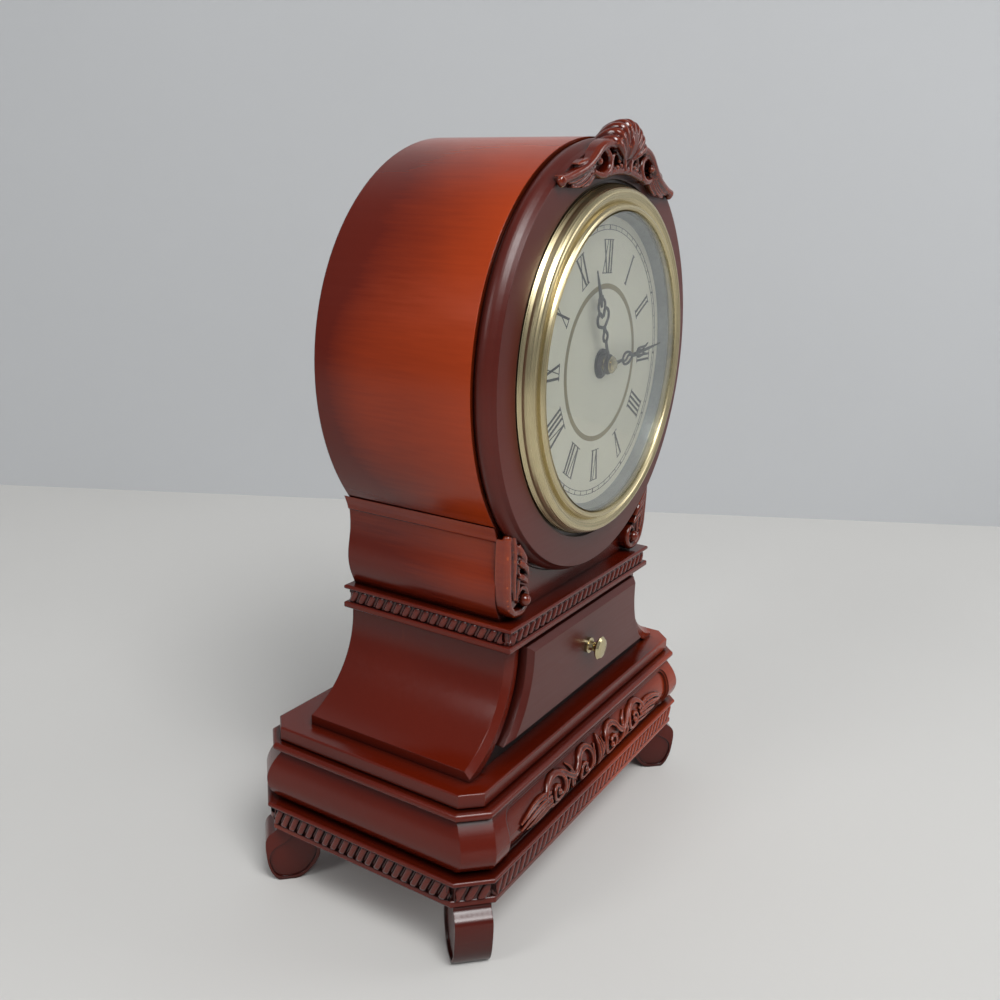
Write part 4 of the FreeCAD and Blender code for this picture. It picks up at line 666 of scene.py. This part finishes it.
LOWER_CORNER = 12.2 * math.sqrt(2)
COLLAR_RUNS = (
    (144.2, -72.1, -50.1, 0, 90, 90), (88.6, 72.1, -50.1, 90, 90, 0), (88.6, -72.1, 38.5, 270, 0, 90),
)
LOWER_RUNS = (
    (200.8, -100.4, -63.4, 0, 45, 45), (LOWER_CORNER, 100.4, -63.4, 45, 45, 45),
    (102.4, 112.6, -51.2, 90, 45, 45), (LOWER_CORNER, 112.6, 51.2, 135, 45, 0),
    (LOWER_CORNER, -100.4, 63.4, 225, 0, 45), (102.4, -112.6, 51.2, 270, 45, 45),
    (LOWER_CORNER, -112.6, -51.2, 315, 45, 45),
)
ROPES = (("collar_rope", COLLAR_RUNS, 138.8, 6.3, 2.15), ("lower_rope", LOWER_RUNS, 34.1, 8.4, 3.0))

# Shares of the pitch (width, rounding), of the height (height, lean, curl) and of the depth (depth, core)

STRAND_WIDTH = 0.8
STRAND_ROUNDING = 0.3
STRAND_HEIGHT = 1.1
STRAND_LEAN = 0.42
STRAND_CURL = 0.35
STRAND_DEPTH = 1.5
STRAND_SINK = 0.25
CORE_DEPTH = 0.42


def solid_block(middle, size):
    """A box about its middle."""
    clear_selection()
    bpy.ops.mesh.primitive_cube_add(size=1, location=middle, scale=size)
    bpy.ops.object.transform_apply(location=True, rotation=True, scale=True)
    return bpy.context.object


def rope_run(run, low, height, depth, pitch):
    """One straight run of rope moulding: leaning rounded strands on a core, mitred at both ends."""
    length, x, y, turn, left_mitre, right_mitre = run
    count = round(length * MM / pitch)
    step = length / count
    strand = solid_block(
        (0, 0, 0), (step * STRAND_WIDTH * MM, depth * STRAND_DEPTH * MM, height * STRAND_HEIGHT * MM))
    use_modifier(strand, "BEVEL", width=step * STRAND_ROUNDING * MM, segments=3, limit_method="NONE")
    # an S-shaped lean, as the strands of a twisted rope have
    for vertex in strand.data.vertices:
        share = vertex.co.z / (height * MM)
        curl = STRAND_CURL * math.sin(2 * math.pi * share) / (2 * math.pi)
        vertex.co.x += STRAND_LEAN * height * MM * (share + curl)
        vertex.co.x -= 0.5 * step * MM
        vertex.co.y -= depth * STRAND_SINK * MM
        vertex.co.z += height * 0.5 * MM
    use_modifier(strand, "ARRAY", count=count + 2, use_relative_offset=False, use_constant_offset=True,
                 constant_offset_displace=(step * MM, 0, 0))
    core_depth = depth * CORE_DEPTH
    core = solid_block((length / 2 * MM, -core_depth / 2 * MM, height / 2 * MM),
                       ((length + 4 * depth) * MM, core_depth * MM, height * MM))
    whole = join([strand, core])
    left = math.radians(left_mitre / 2)
    right = math.radians(right_mitre / 2)
    trim(whole, (0, 0, 0), (0, 1, 0))
    trim(whole, (0, 0, 0), (-math.cos(left), -math.sin(left), 0))
    trim(whole, (length * MM, 0, 0), (math.cos(right), -math.sin(right), 0))
    trim(whole, (0, 0, 0), (0, 0, -1))
    trim(whole, (0, 0, height * MM), (0, 0, 1))
    start = Matrix.Translation(Vector((x, y, low)) * MM)
    whole.data.transform(start @ Matrix.Rotation(math.radians(turn), 4, "Z"))
    bpy.ops.object.shade_smooth_by_angle(angle=math.radians(SOFT_EDGE))
    return whole


class CLOCK_OT_ropes(bpy.types.Operator):
    """Carve the two rope mouldings, under the cradle and round the foot of the base"""

    bl_idname = "mantel_clock.ropes"
    bl_label = "Rope mouldings"

    def execute(self, context):
        pitch = context.scene.mantel_clock.rope_pitch
        for name, runs, low, height, depth in ROPES:
            whole = join([rope_run(run, low, height, depth, pitch) for run in runs])
            settle(whole, name + "_strands", bpy.data.materials["carved_rope_cherry"], "case",
                   "wood_carved", name)
        return {"FINISHED"}


# Hands, drawn pointing up from the arbor: strokes of (across, along, half width) places, in millimetres

HOUR_BANDS = (
    ((0, 3.6, 1.7), (0, 8, 1.0), (0, 12.5, 0.8)),
    ((0, 11.5, 0.8), (-2.2, 14.2, 0.7), (-0.7, 17.4, 0.7), (-0.4, 20, 0.8)),
    ((0, 11.5, 0.8), (2.2, 14.2, 0.7), (0.7, 17.4, 0.7), (0.4, 20, 0.8)),
    ((-0.3, 19, 0.7), (-2.8, 20.4, 0.75), (-5.4, 22.6, 0.75), (-5, 26, 0.75), (-2.4, 27, 0.7),
     (-0.6, 24.6, 0.6)),
    ((0.3, 19, 0.7), (2.8, 20.4, 0.75), (5.4, 22.6, 0.75), (5, 26, 0.75), (2.4, 27, 0.7),
     (0.6, 24.6, 0.6)),
    ((-0.5, 24, 0.6), (-3, 28, 0.7), (-3, 31, 0.7), (-1, 32.4, 0.6), (0, 30, 0.6)),
    ((0.5, 24, 0.6), (3, 28, 0.7), (3, 31, 0.7), (1, 32.4, 0.6), (0, 30, 0.6)),
    ((-2.6, 33.4, 0.4), (0, 34, 0.8), (2.6, 33.4, 0.4)),
    ((0, 29, 0.7), (0, 34, 1.3), (0, 39, 0.9), (0, 46.6, 0.24)),
)
MINUTE_BANDS = (
    ((0, 2.4, 1.1), (0, 7, 0.8), (0, 12, 0.7)),
    ((0, 11.5, 0.7), (-2.2, 13.4, 0.6), (-2.8, 17, 0.6), (-1.6, 20.8, 0.6), (0, 23.4, 0.7)),
    ((0, 11.5, 0.7), (2.2, 13.4, 0.6), (2.8, 17, 0.6), (1.6, 20.8, 0.6), (0, 23.4, 0.7)),
    ((0, 11.5, 0.6), (0.9, 14.5, 0.5), (-0.9, 18.5, 0.5), (0, 22.8, 0.6)),
    ((0, 23, 0.8), (0, 25.6, 1.1), (0, 28.5, 0.8)),
    ((0, 27.5, 0.6), (-1.8, 29.4, 0.6), (-2.1, 33, 0.55), (-1.9, 38, 0.5), (-2.9, 41, 0.3)),
    ((0, 27.5, 0.6), (1.8, 29.4, 0.6), (2.1, 33, 0.55), (1.9, 38, 0.5), (2.9, 41, 0.3)),
    ((-1.9, 36.4, 0.4), (0, 35.4, 0.6), (1.9, 36.4, 0.4)),
    ((0, 28, 0.7), (0, 40, 0.75), (0, 56.8, 0.22)),
)


HAND_LIFT = 0.35
HAND_DEPTH = 0.12
HAND_VOXEL = 0.14
HOUR_TURN = 337
MINUTE_TURN = 84
HOUR_ABOVE_DIAL = 3.9
HOUR_HUB_RADIUS = 4.8
HOUR_TUBE_RADIUS = 2.64
HOUR_TUBE_GAP = 0.02
MINUTE_HUB_RADIUS = 2.6
HUB_THICKNESS = 0.5
BRASS_HUB_RADIUS = 4.0
BRASS_HUB_THICKNESS = 0.55
BRASS_HUB_EDGE = 0.12


def round_hub(radius, front, rear):
    """A short round hub on the line of the arbor, still at the level of the ground."""
    clear_selection()
    bpy.ops.mesh.primitive_cylinder_add(
        vertices=64, radius=radius * MM, depth=(rear - front) * MM,
        location=(0, (front + rear) / 2 * MM, 0), rotation=(math.radians(90), 0, 0))
    bpy.ops.object.transform_apply(location=True, rotation=True, scale=True)
    return bpy.context.object


def hand(bands, back, angle, *hubs):
    """A pierced hand cut from thin sheet, with its hubs, turned to its hour."""
    blade = carve([("flat", HAND_LIFT, places) for places in bands], back, HAND_DEPTH)
    made = melt(join([blade] + [round_hub(*size) for size in hubs]), HAND_VOXEL * MM, 1)
    rise = Matrix.Translation((0, 0, AXIS_Z * MM))
    made.data.transform(rise @ Matrix.Rotation(math.radians(angle), 4, "Y"))
    return made


class CLOCK_OT_hands(bpy.types.Operator):
    """Cut the two pierced hands"""

    bl_idname = "mantel_clock.hands"
    bl_label = "Hands"

    def execute(self, context):
        black = bpy.data.materials["blacked_steel"]
        low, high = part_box("hour_hand")
        hour_back = DIAL_FRONT - HOUR_ABOVE_DIAL
        hour = hand(HOUR_BANDS, hour_back, HOUR_TURN,
                    (HOUR_HUB_RADIUS, hour_back - HUB_THICKNESS, hour_back),
                    (HOUR_TUBE_RADIUS, low.y / MM, high.y / MM - HOUR_TUBE_GAP))
        settle(hour, "hour_hand_pierced", black, "hour_hand", "hand_black", "hour_hand")
        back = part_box("minute_hand")[1].y / MM
        minute = hand(MINUTE_BANDS, back, MINUTE_TURN, (MINUTE_HUB_RADIUS, back - HUB_THICKNESS, back))
        settle(minute, "minute_hand_pierced", black, "minute_hand", "hand_black", "minute_hand")
        hub = round_hub(BRASS_HUB_RADIUS, back - BRASS_HUB_THICKNESS, back)
        use_modifier(hub, "BEVEL", width=BRASS_HUB_EDGE * MM, segments=2)
        hub.data.transform(Matrix.Translation((0, 0, AXIS_Z * MM)))
        bpy.ops.object.shade_smooth_by_angle(angle=math.radians(SOFT_EDGE))
        settle(hub, "minute_hub", bpy.data.materials["turned_brass"], "minute_hand", "brass")
        return {"FINISHED"}


# Dial. Its minute track has two circles (inner radius) and two rows of marks (number, width) between them.

TRACK_CIRCLES = (60.45, 62.45)
TRACK_LINE = 0.26
TRACK_MARKS = ((60, 0.24), (12, 0.8))
TRACK_INNER = 60.6
TRACK_OUTER = 62.6
TRACK_THICKNESS = 0.28


def track_circle(inner):
    """A thin flat ring."""
    clear_selection()
    bpy.ops.mesh.primitive_circle_add(vertices=180, radius=inner * MM, location=(0, 0, 0))
    bpy.ops.object.mode_set(mode="EDIT")
    bpy.ops.mesh.select_all(action="SELECT")
    bpy.ops.mesh.extrude_edges_move()
    grown = (inner + TRACK_LINE) / inner
    bpy.ops.transform.resize(value=(grown, grown, 1))
    bpy.ops.object.mode_set(mode="OBJECT")
    return bpy.context.object


def track_marks(count, width):
    """One row of flat marks round the dial."""
    clear_selection()
    bpy.ops.mesh.primitive_plane_add(size=1, location=(0, (TRACK_INNER + TRACK_OUTER) / 2 * MM, 0))
    bpy.ops.transform.resize(value=(width * MM, (TRACK_OUTER - TRACK_INNER) * MM, 1))
    bpy.ops.object.transform_apply(location=True, rotation=True, scale=True)
    bpy.ops.object.mode_set(mode="EDIT")
    bpy.ops.mesh.select_all(action="SELECT")
    bpy.ops.mesh.spin(steps=count, dupli=True, angle=math.tau, center=(0, 0, 0), axis=(0, 0, 1))
    bpy.ops.mesh.select_all(action="SELECT")
    bpy.ops.mesh.remove_doubles(threshold=0.01 * MM)
    bpy.ops.object.mode_set(mode="OBJECT")
    return bpy.context.object


class CLOCK_OT_dial(bpy.types.Operator):
    """Finish the dial and print its minute track"""

    bl_idname = "mantel_clock.dial"
    bl_label = "Dial"

    def execute(self, context):
        shade = tuple(context.scene.mantel_clock.dial_colour)
        # warm off-white paint, even, with soft reflections
        enamel = grained_coat("sprayed_dial_enamel", shade, darker(shade, 0.94), 0.9, 0.42)
        finish(enamel, "dial_plate")
        finish(coat("printed_gold_ink"), "dial_band")
        ink = coat("printed_black_ink")
        finish(ink, "dial_numerals")
        finish(coat("satin_grey_reflector"), "dial_reflector")
        finish(clear_glass("flat_float_glass"), "dial_glass")
        circles = [track_circle(inner) for inner in TRACK_CIRCLES]
        track = join(circles + [track_marks(count, width) for count, width in TRACK_MARKS])
        use_modifier(track, "SOLIDIFY", thickness=TRACK_THICKNESS * MM, offset=0)
        bpy.ops.object.mode_set(mode="EDIT")
        bpy.ops.mesh.select_all(action="SELECT")
        bpy.ops.mesh.normals_make_consistent(inside=False)
        bpy.ops.object.mode_set(mode="OBJECT")
        stand_up(track, DIAL_FRONT)
        track.data.transform(Matrix.Translation((0, 0, AXIS_Z * MM)))
        settle(track, "minute_track", ink, "case", "black_print")
        return {"FINISHED"}


# Case, trim and back. A grain is the length of its lines along x, y and z, in millimetres.

DRUM_GRAIN = (1.6, 26, 1.6)
LEVEL_GRAIN = (32, 32, 1.3)
UPRIGHT_GRAIN = (1.5, 1.5, 30)
CARVED_GRAIN = (6, 6, 2.2)


class CLOCK_OT_case(bpy.types.Operator):
    """Stain and lacquer the boards, mouldings and feet of the case"""

    bl_idname = "mantel_clock.case"
    bl_label = "Case"

    def execute(self, context):
        settings = context.scene.mantel_clock
        light, middle = tuple(settings.stain_light), tuple(settings.stain_mid)
        dark, front = tuple(settings.stain_dark_and_shade), tuple(settings.front_stain_and_shade)
        stains = (light, middle, dark)
        # darker stains for the surfaces that face forwards, partly their own brown and partly painted shade
        painted_shading_tones = (middle, front, dark)
        # painted light: orange towards the front and the top of the drum, with painted shade deep red behind
        # and below
        finish(lacquered_cherry("bent_cherry_veneer", *stains, DRUM_GRAIN, painted_light=0.24), "drum_shell")
        # red-brown boards with lines of grain that run along them
        finish(lacquered_cherry("lacquered_cherry_boards", *stains, LEVEL_GRAIN),
               "cradle_block", "collar_board", "base_cap", "base_box", "lower_moulding")
        finish(lacquered_cherry("upright_cherry_boards", *stains, UPRIGHT_GRAIN),
               "waist_side_left", "waist_side_right")
        # the surfaces that face forwards: a darker brown, partly their stain and partly painted shade, under
        # duller lacquer
        finish(lacquered_cherry("toned_cherry_fronts", *painted_shading_tones, LEVEL_GRAIN, gloss=0.28),
               "front_ring", "drawer_front", "waist_rear")
        # the feet take the same darker brown, partly stain and partly painted shade
        finish(lacquered_cherry("toned_cherry_feet", *painted_shading_tones, LEVEL_GRAIN),
               "foot_front_left", "foot_front_right", "foot_rear_left", "foot_rear_right")
        # painted shade: nearly black where the carcase lies in shadow behind the drawer's face
        inner = lacquered_cherry("toned_inner_boards", front, dark, dark, LEVEL_GRAIN, gloss=0.4)
        finish(inner, "waist_face")
        # warm crowns that are partly stain and partly painted highlight, near-black hollows that are partly
        # toner and partly painted shade, and small sharp highlights in the lacquer
        carved = lacquered_cherry("carved_cherry", *stains, CARVED_GRAIN, glaze_and_shade=1.0, reach=3.4, gloss=0.13,
                                  shine=0.6, crown=tuple(settings.carving_crown_stain_and_highlight))
        finish(carved, "crest_carving", "base_carving", "bracket_left", "bracket_right")
        # the rope's hollows are darkened the same way, partly toner and partly painted shade
        rope = lacquered_cherry("carved_rope_cherry", *stains, CARVED_GRAIN, glaze_and_shade=1.0, reach=2.6, gloss=0.15,
                                shine=0.5)
        finish(rope, "collar_rope", "lower_rope")
        finish(coat("plain_sanded_plywood"), "drawer_tray", "drawer_runners")
        return {"FINISHED"}


class CLOCK_OT_trim(bpy.types.Operator):
    """Finish the brass bezel, knobs and the fittings of the arbor"""

    bl_idname = "mantel_clock.trim"
    bl_label = "Brass trim"

    def execute(self, context):
        shade = tuple(context.scene.mantel_clock.brass_colour)
        shadow = darker(shade, 0.8)
        # pale satin gold, with highlights drawn out along its rings
        finish(spun_metal("satin_spun_brass", shade, shadow, 0.27), "bezel")
        # the same metal, brighter and smoother
        turned = spun_metal("turned_brass", shade, shadow, 0.2, ring=0.6)
        finish(turned, "drawer_knob", "hand_cap", "centre_bush", "door_knob")
        finish(coat("blacked_steel"), "hour_hand", "minute_hand", "bush_nut", "bush_washer")
        return {"FINISHED"}


class CLOCK_OT_back(bpy.types.Operator):
    """Finish the back board, its door and the movement behind it"""

    bl_idname = "mantel_clock.back"
    bl_label = "Back"

    def execute(self, context):
        finish(coat("painted_fibre_board"), "back_board", "door_panel")
        finish(coat("moulded_black_abs"), "movement_case", "set_knob", "chime_switch", "speaker")
        finish(coat("zinc_plated_steel"), "minute_shaft", "board_screws", "drawer_knob_screw",
               "door_hinge_fixed", "door_hinge_moving", "door_hinge_pins")
        finish(coat("printed_cell_jacket"), "battery_cells")
        return {"FINISHED"}


# Stage, in metres and degrees. An area light has its place, size and the setting that holds its power.

STAGE_SIZE = 6
BACKDROP_DISTANCE = 0.62
BACKDROP_WAY = (0.8268, 0.4935, 0)
FLOOR_COLOUR = "#CDCCC9"
BACKDROP_COLOUR = "#BFC1C3"
LIT_POINT = (0, 0, 0.2)
LIGHTS = (
    ("key_light", (-0.55, -0.75, 1.25), 0.5, "key_power"),
    ("fill_light", (0.75, -1.1, 0.7), 0.6, "fill_power"),
    ("side_light", (-1.25, 0.35, 0.9), 0.4, "fill_power"),
)
EVEN_TILT = 38
EVEN_TURN = -30
EVEN_SPREAD = 40
ROOM_COLOUR = "#E4E6EA"
ROOM_STRENGTH = 0.3
CAMERA_LENS = 35.336
CAMERA_PLACE = (
    (0.5218, 0.2100, -0.8268, -0.4179), (-0.8521, 0.1743, -0.4935, -0.2491),
    (0.0405, 0.9621, 0.2699, 0.3170), (0, 0, 0, 1),
)


def soft_light(name, place, size, power):
    """A large square light that faces the clock."""
    bpy.ops.object.light_add(type="AREA", location=place)
    lamp = bpy.context.object
    lamp.name = name
    lamp.data.size = size
    lamp.data.energy = power
    lamp.rotation_euler = (Vector(LIT_POINT) - Vector(place)).to_track_quat("-Z", "Y").to_euler()


def stage_material(name, shade):
    """Matt painted board: one pale colour with a trace of clouding and no shine."""
    material, tree, out = start_material(name)
    place = add_node(tree, "ShaderNodeTexCoord").outputs["Object"]
    cloud = add_node(tree, "ShaderNodeTexNoise", {"Vector": place, "Scale": 3.0, "Detail": 2.0})
    tone = add_node(tree, "ShaderNodeMix", {0: cloud.outputs[0], 6: shade, 7: darker(shade, 0.95)},
                    data_type="RGBA")
    shader = add_node(tree, "ShaderNodeBsdfPrincipled", {"Base Color": tone.outputs[2], "Roughness": 0.85})
    tree.links.new(shader.outputs[0], out.inputs[0])
    return material


def stage_plane(name, material, colour):
    """A large level board under the clock."""
    clear_selection()
    bpy.ops.mesh.primitive_plane_add(size=STAGE_SIZE, location=(0, 0, 0))
    plane = bpy.context.object
    plane.name = name
    plane.data.materials.append(stage_material(material, linear(colour)))
    return plane


class CLOCK_OT_stage(bpy.types.Operator):
    """Lay the floor, hang the backdrop, set the lights and aim the camera"""

    bl_idname = "mantel_clock.stage"
    bl_label = "Stage"

    def execute(self, context):
        scene = context.scene
        settings = scene.mantel_clock
        floor = stage_plane("floor", "pale_floor", FLOOR_COLOUR)
        wall = stage_plane("backdrop", "pale_backdrop", BACKDROP_COLOUR)
        away = Vector(BACKDROP_WAY).normalized()
        turn = Vector((0, 0, 1)).rotation_difference(-away).to_matrix().to_4x4()
        wall.data.transform(Matrix.Translation(away * BACKDROP_DISTANCE) @ turn)
        bpy.ops.object.light_add(type="SUN", location=(-1, -1, 2),
                                 rotation=(math.radians(EVEN_TILT), 0, math.radians(EVEN_TURN)))
        context.object.name = "even_light"
        context.object.data.energy = settings.even_power
        context.object.data.angle = math.radians(EVEN_SPREAD)
        for name, place, size, power in LIGHTS:
            soft_light(name, place, size, getattr(settings, power))
        world = bpy.data.worlds.new("soft_room")
        world.use_nodes = True
        scene.world = world
        background = world.node_tree.nodes["Background"]
        background.inputs["Color"].default_value = linear(ROOM_COLOUR)
        background.inputs["Strength"].default_value = ROOM_STRENGTH
        scene.view_settings.view_transform = "Standard"
        bpy.ops.object.camera_add(location=(0, 0, 0))
        camera = bpy.context.object
        camera.data.sensor_width = 36
        camera.data.lens = CAMERA_LENS
        camera.data.clip_start = 0.01
        camera.matrix_world = Matrix(CAMERA_PLACE)
        scene.camera = camera
        return {"FINISHED"}


class CLOCK_PT_sidebar(bpy.types.Panel):
    """Sizes, colours and steps of the clock"""

    bl_idname = "CLOCK_PT_sidebar"
    bl_label = "Mantel clock"
    bl_space_type = "VIEW_3D"
    bl_region_type = "UI"
    bl_category = "Clock"

    def draw(self, context):
        settings = context.scene.mantel_clock
        for name in settings.__annotations__:
            self.layout.prop(settings, name)
        for step in STEPS:
            self.layout.operator(step.bl_idname)


STEPS = (
    CLOCK_OT_case, CLOCK_OT_trim, CLOCK_OT_back, CLOCK_OT_dial, CLOCK_OT_hands, CLOCK_OT_crest,
    CLOCK_OT_base_scroll, CLOCK_OT_brackets, CLOCK_OT_ropes, CLOCK_OT_stage,
)
CLASSES = (ClockSettings,) + STEPS + (CLOCK_PT_sidebar,)


def register():
    for part in CLASSES:
        bpy.utils.register_class(part)
    bpy.types.Scene.mantel_clock = bpy.props.PointerProperty(type=ClockSettings)


def unregister():
    del bpy.types.Scene.mantel_clock
    for part in reversed(CLASSES):
        bpy.utils.unregister_class(part)


def main():
    register()
    for step in STEPS:
        getattr(bpy.ops.mantel_clock, step.bl_idname.split(".")[1])()


if __name__ == "__main__":
    main()
